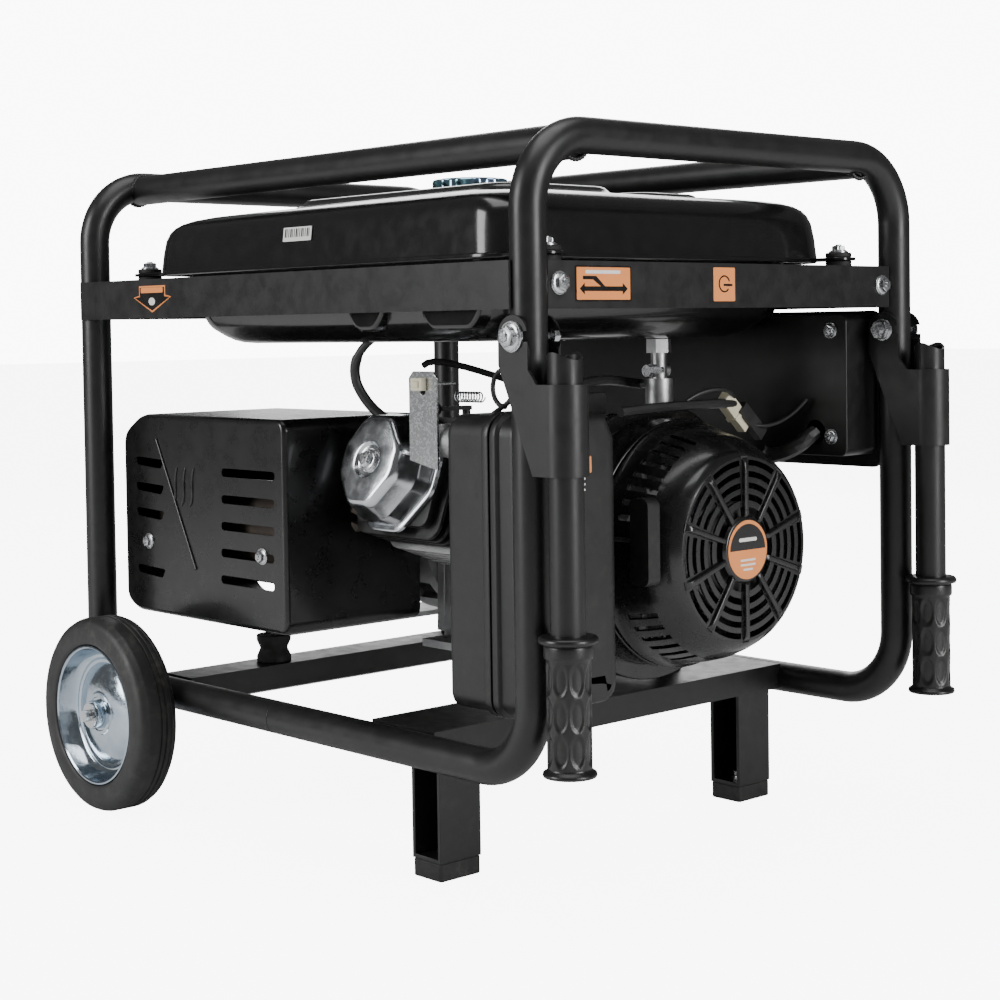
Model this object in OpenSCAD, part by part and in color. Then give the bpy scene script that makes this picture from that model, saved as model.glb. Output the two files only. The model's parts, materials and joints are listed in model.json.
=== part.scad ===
// Open-frame portable generator: tube frame on two wheels and two feet, air-cooled engine,
// alternator, fuel tank and control panel. Millimetres, ground at z = 0, +X at the starter end,
// -Y on the muffler side. The whole object is centred on the origin in X and Y.

/* [Frame] */
// Outer diameter of the frame tube
tube_d = 32; // [31:0.5:33]
// Wall of every frame tube
tube_wall = 2; // [1.5:0.5:3]
// Distance between the posts along X, centre to centre
post_gap_x = 698; // [694:1:702]
// Distance between the posts along Y, centre to centre
post_gap_y = 512; // [510:1:516]
// Height of the bottom rail's centreline
rail_z = 126; // [124:1:128]
// Height of the top tube's centreline
top_z = 672; // [668:1:680]
// Centreline radius of every bend
bend_r = 65; // [60:1:70]
// Height of the tank beams
beam_h = 41; // [38:1:44]

/* [Wheels and feet] */
// Outer diameter of a tyre
wheel_d = 206; // [200:1:208]
// Width of a tyre
tyre_w = 46; // [40:1:46]
// Distance of the axle behind the middle of the frame
axle_x = 268; // [262:1:272]
// Diameter of the axle
axle_d = 12; // [10:1:12]
// Distance of the legs in front of the middle of the frame
leg_x = 178; // [174:1:180]

/* [Handles] */
// Diameter of a handle tube
handle_d = 30; // [28:1:30]
// Height of the handle pivots
pivot_z = 500; // [497:1:502]
// Distance from the pivot to the handle tube's centreline
handle_offset = 42; // [42:0.5:44]
// Diameter of a pivot bolt
pivot_d = 10; // [8:1:10]

/* [Engine and alternator] */
// Distance of the crankshaft from the middle plane
crank_y = 53; // [51:1:55]
// Height of the crankshaft
crank_z = 291; // [290:1:293]
// Distance of the cylinder axis from the middle of the frame
cyl_x = 50; // [48:1:52]
// Rise of the cylinder above the horizontal, in degrees
cyl_rise = 20; // [19:0.5:21]
// Diameter of the bore
bore_d = 92; // [88:1:92]
// Length of the stroke
stroke = 66; // [60:1:66]
// Outer radius of the alternator
alt_r = 98; // [92:1:100]

/* [Tank] */
// Length of the tank
tank_l = 552; // [540:1:556]
// Width of the tank
tank_w = 440; // [430:1:444]
// Wall of the tank's pressings
tank_wall = 1.5; // [1:0.5:2]

/* [Hidden] */

$fn = 48;
post_x = post_gap_x / 2;
post_y = post_gap_y / 2;
tube_r = tube_d / 2;
bore_r = tube_r - tube_wall;
grip_flange_r = 25.5;
front_reach = post_x + handle_offset + grip_flange_r;
rear_reach = axle_x + wheel_d / 2;
mid_x = (rear_reach - front_reach) / 2;
rail_joint_x = -18;
plate_t = 3;
beam_z0 = 523;
beam_z1 = beam_z0 + beam_h;
beam_y = post_y + tube_r + 0.3;
beam_x = 352;
end_bolt_y = 226;
axle_z = wheel_d / 2;
wheel_y = 299;
rail_top = rail_z + tube_r;
rear_member_x = -215;
front_member_x = 160;
rear_mounts_y = [-120, 150];
front_mounts_y = [-32, 138];
front_mount_x = 135;
mount_h = 30;
leg_y = 209;
tank_x = 4.5;
tank_z = 572;
ear_x = 318;
ear_y = 205;
cap_x = 52;
cap_y = -55;
cap_z = 645;
petcock_x = 190;
petcock_y = 75;
petcock_z = 462;
tank_floor_z = 494;
journal_r = 17.5;
run = 0.05;
case_rear_x = -30;
case_front_x = 156;
fan_x0 = 160;
fan_x1 = 240;
base_z = rail_top + mount_h;
cover_h = 80;
disc_r = 93;
// Half section of the recoil cover as [radius, distance from the fan housing]
recoil_profile = [[118, 0], [122, 4], [118, 8], [112, 40], [100, 68], [disc_r, 76], [88, cover_h],
    [24, cover_h], [24, 76], [86, 76], [90, 72], [96, 64], [108, 38], [113, 8], [112, 0]];
pull_x = 300;
pull_y = -67;
pull_z = 307;
rope_x0 = fan_x1 + 24;
rope_r = 2;
dipstick_x = 120;
dipstick_y = crank_y + 56;
dipstick_z = 212;
intake_y = -152;
intake_z = 398;
muffler_y = -140;
muffler_z = 300;
box_x0 = 209;
box_seam_x = 262;
box_x1 = 303;
box_y0 = -232;
box_y1 = -100;
box_z0 = 160;
box_z1 = 433;
guard_x0 = -338;
guard_x1 = -36;
guard_y = -232;
guard_z0 = 201;
guard_z1 = 419;
panel_x0 = -110;
panel_x1 = 329;
panel_y = 262;
socket_xs = [-50, 20, 90];
socket_z = 412;
upper_row_z = 470;
meter_x = 20;
key_x = 270;
breaker_x = 190;
earth_x = 150;
earth_z = 400;
earth_stud_r = 3;
sleeve_z0 = -116;
sleeve_z1 = -40;

// ---- shared shapes

module shift() translate([mid_x, 0, 0]) children();

// Cylinders along X and Y, starting at the given point
module rod_x(r, l) rotate([0, 90, 0]) cylinder(r = r, h = l);
module rod_y(r, l) rotate([-90, 0, 0]) cylinder(r = r, h = l);

// A flat outline in (Y, Z) raised along +X, and one in (X, Z) raised along +Y
module slab_x(l) rotate([90, 0, 90]) linear_extrude(l) children();
module slab_y(l) translate([0, l, 0]) rotate([90, 0, 0]) linear_extrude(l) children();

function corner_points(cx, cy, r, start, n) =
    [for (i = [0:n]) [cx + r * cos(start + 90 * i / n), cy + r * sin(start + 90 * i / n)]];

// Rounded rectangle between two corners
module rounded(x0, y0, x1, y1, r, n = 5) {
    polygon(concat(
        corner_points(x1 - r, y1 - r, r, 0, n),
        corner_points(x0 + r, y1 - r, r, 90, n),
        corner_points(x0 + r, y0 + r, r, 180, n),
        corner_points(x1 - r, y0 + r, r, 270, n)));
}

// Hexagon bolt head or nut along +Z, across-corners radius r
module hex(r, h) cylinder(r = r, h = h, $fn = 6);

// A quarter bend of the frame tube from +X towards +Y
module bend(r) rotate_extrude(angle = 90) translate([bend_r, 0]) circle(r);

// Sweeps a round section of n sides along a list of points
function unit(v) = v / norm(v);
function heading(p, i) = unit(p[min(i + 1, len(p) - 1)] - p[max(i - 1, 0)]);
function side_of(t) = unit(cross(t, abs(t[2]) < 0.9 ? [0, 0, 1] : [1, 0, 0]));
function ring(p, i, r, n) = let (t = heading(p, i), a = side_of(t), b = cross(a, t))
    [for (k = [0:n - 1]) p[i] + r * (cos(360 * k / n) * a + sin(360 * k / n) * b)];
module swept(p, r, n = 8) {
    m = len(p);
    points = [for (i = [0:m - 1]) each ring(p, i, r, n)];
    sides = [for (i = [0:m - 2]) for (k = [0:n - 1])
        [i * n + k, i * n + (k + 1) % n, (i + 1) * n + (k + 1) % n, (i + 1) * n + k]];
    first = [[for (k = [n - 1:-1:0]) k]];
    last = [[for (k = [0:n - 1]) (m - 1) * n + k]];
    polyhedron(points, concat(first, sides, last), convexity = 6);
}

// Points of a smooth curve from a through control points b and c to d
function curve(a, b, c, d, n) = [for (i = [0:n]) let (t = i / n)
    pow(1 - t, 3) * a + 3 * t * pow(1 - t, 2) * b + 3 * t * t * (1 - t) * c + pow(t, 3) * d];

// ---- frame

// A straight length of frame tube along +Z, and a quarter bend of it from +X towards +Y
module tube_length(l) difference() {
    cylinder(r = tube_r, h = l);
    translate([0, 0, -1]) cylinder(r = bore_r, h = l + 2);
}
module tube_bend() rotate_extrude(angle = 90) translate([bend_r, 0]) difference() {
    circle(tube_r);
    circle(bore_r);
}

module top_bar(r) {
    for (flip = [0, 1]) mirror([0, flip, 0])
        translate([post_x, post_y - bend_r, top_z - bend_r]) rotate([90, 0, 90]) bend(r);
    translate([post_x, bend_r - post_y, top_z]) rod_y(r, post_gap_y - 2 * bend_r);
}

// Up one post from the rail joint, over the top and down the other post
module hoop(joint_x) {
    difference() {
        union() {
            for (side = [-1, 1]) {
                translate([joint_x, side * post_y, rail_z]) rotate([0, 90, 0])
                    tube_length(post_x - bend_r - joint_x);
                translate([post_x - bend_r, side * post_y, rail_z + bend_r])
                    rotate([90, 0, 0]) rotate([0, 0, -90]) tube_bend();
                translate([post_x, side * post_y, rail_z + bend_r])
                    tube_length(top_z - rail_z - 2 * bend_r);
            }
            for (flip = [0, 1]) mirror([0, flip, 0])
                translate([post_x, post_y - bend_r, top_z - bend_r])
                    rotate([90, 0, 90]) tube_bend();
            translate([post_x, bend_r - post_y, top_z]) rotate([-90, 0, 0])
                tube_length(post_gap_y - 2 * bend_r);
        }
        for (side = [-1, 1])
            translate([post_x, side * post_y - tube_r - 1, pivot_z])
                rod_y(pivot_d / 2 + 0.2, tube_d + 2);
    }
}

module front_hoop() {
    color("#1b1b1d") shift() hoop(rail_joint_x);
}

module rear_hoop() {
    color("#1b1b1d") shift() mirror([1, 0, 0]) hoop(-rail_joint_x);
}

module top_rails() {
    inset = 57;
    drop = 5;
    color("#1b1b1d") shift() difference() {
        for (side = [-1, 1]) translate([-post_x, side * (post_y - inset), top_z - drop]) difference() {
            rod_x(tube_r, post_gap_x);
            translate([-1, 0, 0]) rod_x(bore_r, post_gap_x + 2);
        }
        top_bar(tube_r);
        mirror([1, 0, 0]) top_bar(tube_r);
    }
}

// Inverted channel across the bottom rails
module cross_channel(x, w, bolt_x, bolt_ys) {
    h = 26;
    difference() {
        translate([x - w / 2, -post_y + 11, rail_top - h]) cube([w, post_gap_y - 22, h]);
        translate([x - w / 2 + plate_t, -post_y, rail_top - h - 1])
            cube([w - 2 * plate_t, post_gap_y, h + 1 - plate_t]);
        for (side = [-1, 1]) translate([x - w, side * post_y, rail_z]) rod_x(tube_r, 2 * w);
        for (y = bolt_ys) translate([bolt_x, y, rail_top - plate_t - 1])
            cylinder(r = 4.2, h = plate_t + 2);
    }
}

module cross_members() {
    color("#1d1d1f") shift() {
        cross_channel(rear_member_x, 50, rear_member_x, rear_mounts_y);
        cross_channel(front_member_x, 90, front_mount_x, front_mounts_y);
    }
}

module end_beam() {
    flange = 46;
    half = post_y - tube_r - 1;
    difference() {
        union() {
            translate([beam_x, -half, beam_z0]) cube([plate_t, 2 * half, beam_h]);
            translate([beam_x + plate_t - flange, -half, beam_z1 - plate_t])
                cube([flange, 2 * half, plate_t]);
        }
        for (side = [-1, 1]) translate([beam_x - 1, side * end_bolt_y, beam_z0 + 22])
            rod_x(4.2, plate_t + 2);
        for (side = [-1, 1]) translate([ear_x, side * ear_y, beam_z1 - plate_t - 1])
            cylinder(r = 4.2, h = plate_t + 2);
    }
}

module side_beam() {
    flange = 24;
    half = post_x - tube_r - 2;
    translate([-post_x, beam_y, beam_z0]) cube([2 * post_x - 4, plate_t, beam_h]);
    translate([-half, beam_y - flange, beam_z1 - plate_t]) cube([2 * half, flange, plate_t]);
}

module tank_beams() {
    color("#161617") shift() {
        for (flip = [0, 1]) {
            mirror([flip, 0, 0]) end_beam();
            mirror([0, flip, 0]) side_beam();
        }
    }
}

module leg_channels() {
    wall = 4;
    foot_h = 17;
    depth = 50;
    width = 40;
    color("#1b1b1d") shift() for (side = [-1, 1]) translate([leg_x, side * leg_y, 0]) difference() {
        translate([-width / 2, -depth / 2, foot_h]) cube([width, depth, rail_top - plate_t - foot_h]);
        translate([-width / 2 + wall, -depth / 2 - 1, foot_h + wall])
            cube([width - 2 * wall, depth - wall + 1, rail_top - plate_t - foot_h - 2 * wall]);
        translate([0, 0, foot_h - 1]) cylinder(r = 4.2, h = wall + 2);
    }
}

module rubber_feet() {
    color("#141414") shift() for (side = [-1, 1]) translate([leg_x, side * leg_y, 0]) difference() {
        linear_extrude(17) rounded(-20, -25, 20, 25, 4);
        translate([0, 0, 9]) cylinder(r = 9, h = 9);
    }
}

module axle() {
    reach = 330;
    color("silver") shift() translate([-axle_x, -reach, axle_z]) rod_y(axle_d / 2, 2 * reach);
}

module axle_brackets() {
    color("#1b1b1d") shift() for (flip = [0, 1]) mirror([0, flip, 0]) difference() {
        translate([-axle_x, post_y - tube_r - 2, 0]) slab_y(5)
            polygon([[-14, 88], [14, 88], [25, 138], [-15, 138]]);
        translate([-axle_x, post_y - tube_r - 3, axle_z]) rod_y(axle_d / 2 + run, 8);
        translate([-axle_x - 20, post_y, rail_z]) rod_x(tube_r, 60);
    }
}

// Bolt along +Y through a post, head outside and nut inside
module pivot_bolt() {
    plate_out = post_y + tube_r + 0.5 + plate_t;
    plate_in = post_y - tube_r - 0.5 - plate_t;
    translate([post_x, plate_in - 12, pivot_z]) rod_y(pivot_d / 2, plate_out - plate_in + 15);
    translate([post_x, plate_out + 0.2, pivot_z]) rod_y(10, 1.5);
    translate([post_x, plate_out + 1.7, pivot_z]) rotate([-90, 0, 0]) hex(9, 6);
    translate([post_x, plate_in - 9.2, pivot_z]) rotate([-90, 0, 0]) hex(9, 9);
}

module pivot_bolts() {
    color("silver") shift() for (flip = [0, 1]) mirror([0, flip, 0]) pivot_bolt();
}

// Flanged bolt standing on a surface, head upwards along +Z, shank below
module bolt(shank_r, shank_l, head_r, head_h) {
    translate([0, 0, -shank_l]) cylinder(r = shank_r, h = shank_l);
    cylinder(r = head_r + 2, h = 1.5);
    translate([0, 0, 1.5]) hex(head_r, head_h);
}

module wheel_retainer() {
    outer = wheel_y + 22.3;
    translate([-axle_x, outer, axle_z]) difference() {
        rod_y(13, 2);
        translate([0, -1, 0]) rod_y(axle_d / 2 + run, 4);
    }
    translate([-axle_x - 12, outer + 3, axle_z - 1.2]) difference() {
        cube([24, 2.4, 2.4]);
        translate([12 - axle_d / 2 - run, -1, -1]) cube([axle_d + 2 * run, 4.4, 4.4]);
    }
}

module frame_fasteners() {
    color("silver") shift() {
        for (flip = [0, 1]) mirror([flip, 0, 0]) for (side = [-1, 1])
            translate([beam_x + plate_t, side * end_bolt_y, beam_z0 + 22]) rotate([0, 90, 0])
                bolt(4, 12, 7, 5);
        for (y = rear_mounts_y) translate([rear_member_x, y, rail_top + mount_h + 6]) bolt(4, 10, 7, 5);
        for (y = front_mounts_y) translate([front_mount_x, y, rail_top + mount_h + 8]) bolt(4, 12, 7, 5);
        for (flip = [0, 1]) mirror([flip, 0, 0]) for (side = [-1, 1])
            translate([ear_x, side * ear_y, tank_z + 6.5]) bolt(4, 17, 7, 5);
        for (side = [-1, 1]) translate([leg_x, side * leg_y, 21]) bolt(4, 10, 7, 5);
        for (flip = [0, 1]) mirror([0, flip, 0]) wheel_retainer();
    }
}

module rubber_mounts() {
    color("#111111") shift() {
        for (y = rear_mounts_y) translate([rear_member_x, y, rail_top]) bobbin(19, mount_h, 10);
        for (y = front_mounts_y) translate([front_mount_x, y, rail_top]) bobbin(17, mount_h, 12);
        for (flip = [0, 1]) mirror([flip, 0, 0]) for (side = [-1, 1])
            translate([ear_x, side * ear_y, 0]) {
                translate([0, 0, beam_z1]) difference() {
                    cylinder(r = 13, h = 6.5);
                    translate([0, 0, -1]) cylinder(r = 4, h = 9);
                }
                translate([0, 0, tank_z + 1.5]) difference() {
                    cylinder(r = 13, h = 5);
                    translate([0, 0, -1]) cylinder(r = 4, h = 7);
                }
            }
    }
}

// Waisted rubber buffer with a socket for its bolt
module bobbin(r, h, socket) {
    difference() {
        rotate_extrude() polygon([[0, 0], [r, 0], [r, 6], [r - 4, h / 2], [r, h - 6], [r, h], [0, h]]);
        translate([0, 0, h - socket]) cylinder(r = 4, h = socket + 1);
    }
}

// ---- fuel tank

// One layer of the tank's outline: length, width and corner radius, at a height
module tank_layer(l, w, r, z) {
    translate([tank_x, 0, z]) linear_extrude(0.5) rounded(-l / 2, -w / 2, l / 2, w / 2, r);
}

module upper_form(inset) {
    hull() {
        tank_layer(tank_l - 2 * inset, tank_w - 2 * inset, 40, tank_z);
        tank_layer(tank_l - 32 - 2 * inset, tank_w - 28 - 2 * inset, 40, tank_z + 48 - inset);
        tank_layer(440 - 2 * inset, 330 - 2 * inset, 45, tank_z + 64 - inset);
        tank_layer(330 - 2 * inset, 240 - 2 * inset, 50, cap_z - 0.5 - inset);
    }
}

module lower_form(inset) {
    hull() {
        tank_layer(520 - 2 * inset, 420 - 2 * inset, 40, tank_z - 2);
        tank_layer(494 - 2 * inset, 400 - 2 * inset, 40, 520);
        tank_layer(394 - 2 * inset, 330 - 2 * inset, 40, tank_floor_z + inset);
    }
}

// Flat rim with four bolt ears
module tank_rim(z, opening_l, opening_w) {
    translate([0, 0, z]) linear_extrude(tank_wall) difference() {
        union() {
            translate([tank_x, 0])
                rounded(-tank_l / 2 - 12, -tank_w / 2 - 12, tank_l / 2 + 12, tank_w / 2 + 12, 45);
            for (sx = [-1, 1]) for (sy = [-1, 1]) translate([sx * (ear_x - 20), sy * ear_y])
                rounded(-36, -15, 36, 15, 12);
        }
        translate([tank_x, 0]) rounded(-opening_l / 2, -opening_w / 2, opening_l / 2, opening_w / 2, 38);
        for (sx = [-1, 1]) for (sy = [-1, 1]) translate([sx * ear_x, sy * ear_y]) circle(4.2);
    }
}

module tank_upper_shell() {
    color("#101012") shift() {
        difference() {
            union() {
                upper_form(0);
                tank_rim(tank_z, tank_l - 20, tank_w - 20);
            }
            translate([0, 0, -0.01]) upper_form(tank_wall);
            translate([cap_x, cap_y, cap_z - 20]) cylinder(r = 26, h = 30);
        }
    }
}

module tank_lower_shell() {
    color("#101012") shift() {
        difference() {
            union() {
                lower_form(0);
                tank_rim(tank_z - tank_wall, 516 - 4, 416 - 4);
            }
            translate([0, 0, 0.01]) lower_form(tank_wall);
            translate([petcock_x, petcock_y, tank_floor_z - 2]) cylinder(r = 5, h = 10);
        }
    }
}

module filler_neck() {
    color("silver") shift() translate([cap_x, cap_y, cap_z - 60]) difference() {
        union() {
            cylinder(r = 24, h = 66);
            translate([0, 0, 60.2]) cylinder(r = 29, h = 2);
        }
        translate([0, 0, 3]) cylinder(r = 22, h = 70);
    }
}

module fuel_cap() {
    color("#8fb3bd") shift() translate([cap_x, cap_y, cap_z + 2.6]) difference() {
        union() {
            cylinder(r = 38, h = 12);
            for (i = [0:11]) rotate(30 * i) translate([36, 0, 0]) cylinder(r = 4, h = 12);
        }
        translate([0, 0, -1]) cylinder(r = 30, h = 8);
    }
}

module petcock_body() {
    color("silver") shift() translate([petcock_x, petcock_y, 0]) {
        translate([0, 0, tank_floor_z - 14]) hex(13, 14);
        translate([0, 0, petcock_z - 8]) cylinder(r = 8, h = tank_floor_z - 14 - petcock_z + 8);
        translate([0, -13, petcock_z]) rod_y(6.5, 24);
        translate([0, 0, petcock_z - 36]) cylinder(r = 14, h = 28);
        translate([0, 0, petcock_z - 40]) hex(9, 4);
        translate([-24, 0, petcock_z - 14]) rod_x(4, 14);
    }
}

module petcock_lever() {
    color("#c9c9c9") shift() translate([petcock_x, petcock_y - 19, petcock_z]) {
        rod_y(6, 5.8);
        slab_y(3) rounded(-4, -2, 22, 4, 2);
    }
}

module fuel_hose() {
    start = [petcock_x - 24.7, petcock_y, petcock_z - 14];
    end = [176, intake_y + 20.5, intake_z];
    color("#3a3a3c") shift() swept(curve(start, start - [35.3, 0, 0], [176, -30, 476], end, 14), 5);
}

// ---- engine

// The cylinder's own frame: +Z out along its axis, +X along the crankshaft
module cylinder_frame() {
    translate([cyl_x, crank_y, crank_z]) rotate([90 - cyl_rise, 0, 0]) children();
}

// Outline of the crankcase, seen along the crankshaft
module case_outline(r) {
    translate([crank_y, crank_z]) circle(r);
    polygon([[crank_y - r + 6, crank_z - 20], [crank_y - r + 4, 184],
        [crank_y + r - 4, 184], [crank_y + r - 6, crank_z - 20]]);
}

module cylinder_block() {
    case_l = case_front_x - case_rear_x;
    barrel_r = bore_d / 2 + 9;
    color("#8d8f91") shift() difference() {
        union() {
            translate([case_rear_x, 0, 0]) slab_x(case_l) case_outline(86);
            translate([case_rear_x, -60, base_z]) cube([case_l, 224, 8]);
            translate([case_rear_x, crank_y - 82, base_z]) cube([case_l, 164, 20]);
            cylinder_frame() translate([0, 0, 60]) cylinder(r = barrel_r, h = 110);
            for (i = [0:5]) cylinder_frame() translate([0, 0, 96 + 12 * i]) linear_extrude(4)
                rounded(-66, -66, 66, 66, 20);
        }
        translate([case_rear_x - 1, 0, 0]) slab_x(case_l - 11) translate([crank_y, crank_z]) circle(76);
        translate([case_rear_x - 1, crank_y - 66, base_z + 12]) cube([case_l - 11, 132, 60]);
        translate([case_front_x - 20, crank_y, crank_z]) rod_x(journal_r + run, 30);
        cylinder_frame() cylinder(r = bore_d / 2, h = 200);
        translate([dipstick_x, dipstick_y, dipstick_z]) rod_y(8, 40);
        for (y = front_mounts_y) translate([front_mount_x, y, base_z]) {
            translate([0, 0, -1]) cylinder(r = 4.2, h = 30);
            translate([0, 0, 8]) cylinder(r = 13, h = 14);
        }
    }
}

module crankcase_cover() {
    color("#8d8f91") shift() difference() {
        translate([case_rear_x - 12, 0, 0]) slab_x(12) case_outline(86);
        translate([case_rear_x - 20, crank_y, crank_z]) rod_x(journal_r + run, 30);
    }
}

module cylinder_head() {
    color("#151515") shift() cylinder_frame() difference() {
        union() {
            translate([0, 0, 170]) linear_extrude(46) rounded(-55, -52, 55, 52, 10);
            for (i = [0:3]) translate([0, 0, 172 + 10 * i]) linear_extrude(4) rounded(-64, -62, 64, 62, 16);
        }
        translate([0, 0, 165]) cylinder(r = bore_d / 2 - 2, h = 16);
        translate([50, 0, 192]) rod_x(13, 20);
        translate([-70, 0, 192]) rod_x(12, 24);
        translate([-30, 40, 189]) rod_y(6, 30);
    }
}

module valve_cover() {
    color("#b9bbbd") shift() cylinder_frame() difference() {
        union() {
            translate([0, 0, 216.2]) linear_extrude(5) cover_outline(57, 60);
            hull() {
                translate([0, 0, 221]) linear_extrude(18) cover_outline(52, 55);
                translate([0, 0, 260]) linear_extrude(4) cover_outline(38, 44);
            }
            translate([0, 0, 262]) cylinder(r = 13, h = 5);
            translate([0, 0, 267]) hex(8, 7);
        }
        hull() {
            translate([0, 0, 215]) linear_extrude(22) cover_outline(50, 53);
            translate([0, 0, 257]) linear_extrude(4) cover_outline(36, 42);
        }
    }
}

// Six-cornered outline of the valve cover
module cover_outline(w, h) {
    polygon([[-w, -h * 0.3], [-w * 0.4, -h], [w * 0.4, -h], [w, -h * 0.3],
        [w, h * 0.35], [w * 0.45, h], [-w * 0.45, h], [-w, h * 0.35]]);
}

module spark_plug_set() {
    color("#101010") shift() {
        cylinder_frame() translate([-30, 46, 189]) {
            rod_y(5.8, 24);
            translate([0, 24, 0]) rotate([-90, 0, 0]) hex(9, 8);
            translate([0, 32, 0]) rod_y(8, 34);
        }
        swept(curve([20, -95, 470], [20, -80, 486], [70, -20, 450], [126, 20, 432], 12), 3.5);
        translate([126, 4, 418]) cube([26, 32, 22]);
    }
}

module fan_housing() {
    ring_r = 124;
    color("#111113") shift() difference() {
        union() {
            translate([fan_x0, crank_y, crank_z]) rod_x(ring_r, fan_x1 - fan_x0);
            translate([fan_x0 + 30, 0, 0]) slab_x(12) intersection() {
                translate([crank_y, crank_z]) circle(140);
                rounded(crank_y - 126, 150, crank_y + 126, crank_z + 130, 20);
            }
        }
        translate([fan_x0 + 4, crank_y, crank_z]) rod_x(ring_r - 6, fan_x1 - fan_x0);
        translate([fan_x0 - 1, crank_y, crank_z]) rod_x(60, 20);
    }
}

module recoil_cover() {
    rib_w = 7;
    skin = 4;
    hub_r = 30;
    color("#121214") shift() translate([fan_x1, crank_y, crank_z]) rotate([0, 90, 0]) difference() {
        union() {
            difference() {
                rotate_extrude() polygon(recoil_profile);
                for (r = [44, 58, 72]) translate([0, 0, cover_h - 10]) difference() {
                    cylinder(r = r + 8, h = 20);
                    translate([0, 0, -1]) cylinder(r = r, h = 22);
                }
            }
            for (i = [0:9]) rotate(36 * i) translate([hub_r - 2, -rib_w / 2, cover_h - skin])
                cube([56, rib_w, skin]);
            translate([0, 0, cover_h - skin]) cylinder(r = hub_r, h = skin);
            translate([0, 0, 50]) cylinder(r = 8, h = 27);
            translate([crank_z - pull_z, pull_y - crank_y, 6])
                cylinder(r = 7, h = rope_x0 - fan_x1 - 6.2);
        }
        for (start = [28, 183]) for (i = [0:5]) rotate(start - 13 * i) translate([84, -3.5, 16])
            cube([40, 7, 34]);
    }
}

module flywheel() {
    color("#9a9c9e") shift() translate([fan_x0 + 8, crank_y, crank_z]) {
        difference() {
            union() {
                rod_x(100, 26);
                translate([26, 0, 0]) rod_x(52, 14);
                for (i = [0:15]) rotate([22.5 * i, 0, 0]) translate([26, -2, 54]) cube([20, 4, 44]);
            }
            translate([-1, 0, 0]) rod_x(14, 60);
            translate([-1, 0, 0]) rod_x(80, 12);
        }
    }
}

module recoil_pulley() {
    color("#2b2b2d") shift() translate([fan_x1 + 52, crank_y, crank_z]) difference() {
        rotate([0, 90, 0]) rotate_extrude()
            polygon([[8.3, 0], [46, 0], [46, 4], [38, 7], [38, 11], [46, 14], [46, 18], [8.3, 18]]);
        translate([-1, 0, 0]) rod_x(8 + run, 30);
    }
}

module pull_handle() {
    color("#161616") shift() translate([pull_x, pull_y, pull_z]) difference() {
        translate([0, -8, 0]) slab_y(16) rounded(-11, -41, 13, 41, 8);
        translate([-20, -30, -28]) cube([10, 60, 56]);
        translate([-12, 0, 0]) rod_x(rope_r, 16);
    }
}

module pull_rope() {
    color("#242424") shift() translate([rope_x0, pull_y, pull_z]) rod_x(rope_r, pull_x - 10.2 - rope_x0);
}

module crankshaft() {
    web_t = 20;
    throw = stroke / 2;
    pin_half = 16;
    color("#7f8184") shift() translate([cyl_x, crank_y, crank_z]) {
        for (x = [pin_half, -pin_half - web_t]) translate([x, 0, 0]) rotate([cyl_rise, 0, 0]) hull() {
            translate([0, 30, 0]) rod_x(40, web_t);
            translate([0, -throw, 0]) rod_x(26, web_t);
        }
        rotate([cyl_rise, 0, 0]) translate([-pin_half - 1, -throw, 0]) rod_x(17.9, 2 * pin_half + 2);
        translate([pin_half + web_t - 1, 0, 0])
            rod_x(journal_r, case_front_x - cyl_x - pin_half - web_t + 1);
        translate([case_front_x - cyl_x, 0, 0]) rod_x(14, 70);
        translate([case_rear_x - 30 - cyl_x, 0, 0])
            rod_x(journal_r, cyl_x - case_rear_x + 31 - pin_half - web_t);
    }
}

module piston() {
    crown = 168;
    color("#b5b7b9") shift() cylinder_frame() difference() {
        translate([0, 0, crown - 56]) cylinder(r = bore_d / 2 - 0.3, h = 56);
        translate([0, 0, crown - 57]) cylinder(r = bore_d / 2 - 6, h = 47);
    }
}

module connecting_rod() {
    orbit = stroke / 2 + 18.6;
    color("#a3a5a8") shift() cylinder_frame() difference() {
        union() {
            translate([-9, 0, 132]) rod_x(14, 18);
            translate([-7, -9, 50]) cube([14, 18, 76]);
            translate([-12, -26, 46]) cube([24, 52, 16]);
        }
        translate([-20, 0, 0]) rod_x(orbit, 40);
    }
}

module oil_dipstick() {
    color("#222222") shift() translate([dipstick_x, 0, dipstick_z]) {
        translate([0, dipstick_y + 5, 0]) rod_y(7.9, 24);
        translate([0, crank_y + 82.4, 0]) rod_y(14, 16);
    }
}

module carburettor() {
    color("#77797b") shift() translate([0, intake_y, 0]) {
        translate([128, 0, intake_z]) rod_x(16, 56);
        translate([156, 0, 362]) cylinder(r = 20, h = 34);
        translate([156, 0, 356]) hex(8, 6);
        translate([122, -24, 384]) cube([6, 48, 32]);
    }
}

module choke_lever() {
    color("#141414") shift() translate([150, intake_y, 0]) {
        translate([0, 0, 416]) cylinder(r = 4, h = 14);
        translate([-4, -38, 430]) cube([8, 42, 4]);
        translate([0, -40, 432]) sphere(7);
    }
}

module control_bracket() {
    color("#a8abae") shift() translate([132, -208, 0]) {
        difference() {
            slab_y(2.5) polygon([[0, 384], [40, 376], [40, 462], [34, 468], [6, 468], [0, 462]]);
            translate([20, -1, 450]) rod_y(4, 5);
        }
        translate([0, 2.5, 455]) cube([40, 22, 2.5]);
    }
}

// Outline of the air box in (Y, Z), drawn in by inset
module air_outline(inset) {
    bevel = 26;
    far = box_y1 - inset;
    near = box_y0 + inset;
    low = box_z0 + inset;
    high = box_z1 - inset;
    polygon(concat(
        [[far, high - bevel], [far - bevel / 2, high]],
        corner_points(near + 22, high - 22, 22, 90, 4),
        corner_points(near + 18, low + 18, 18, 180, 4),
        corner_points(far - 22, low + 22, 22, 270, 4)));
}

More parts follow.
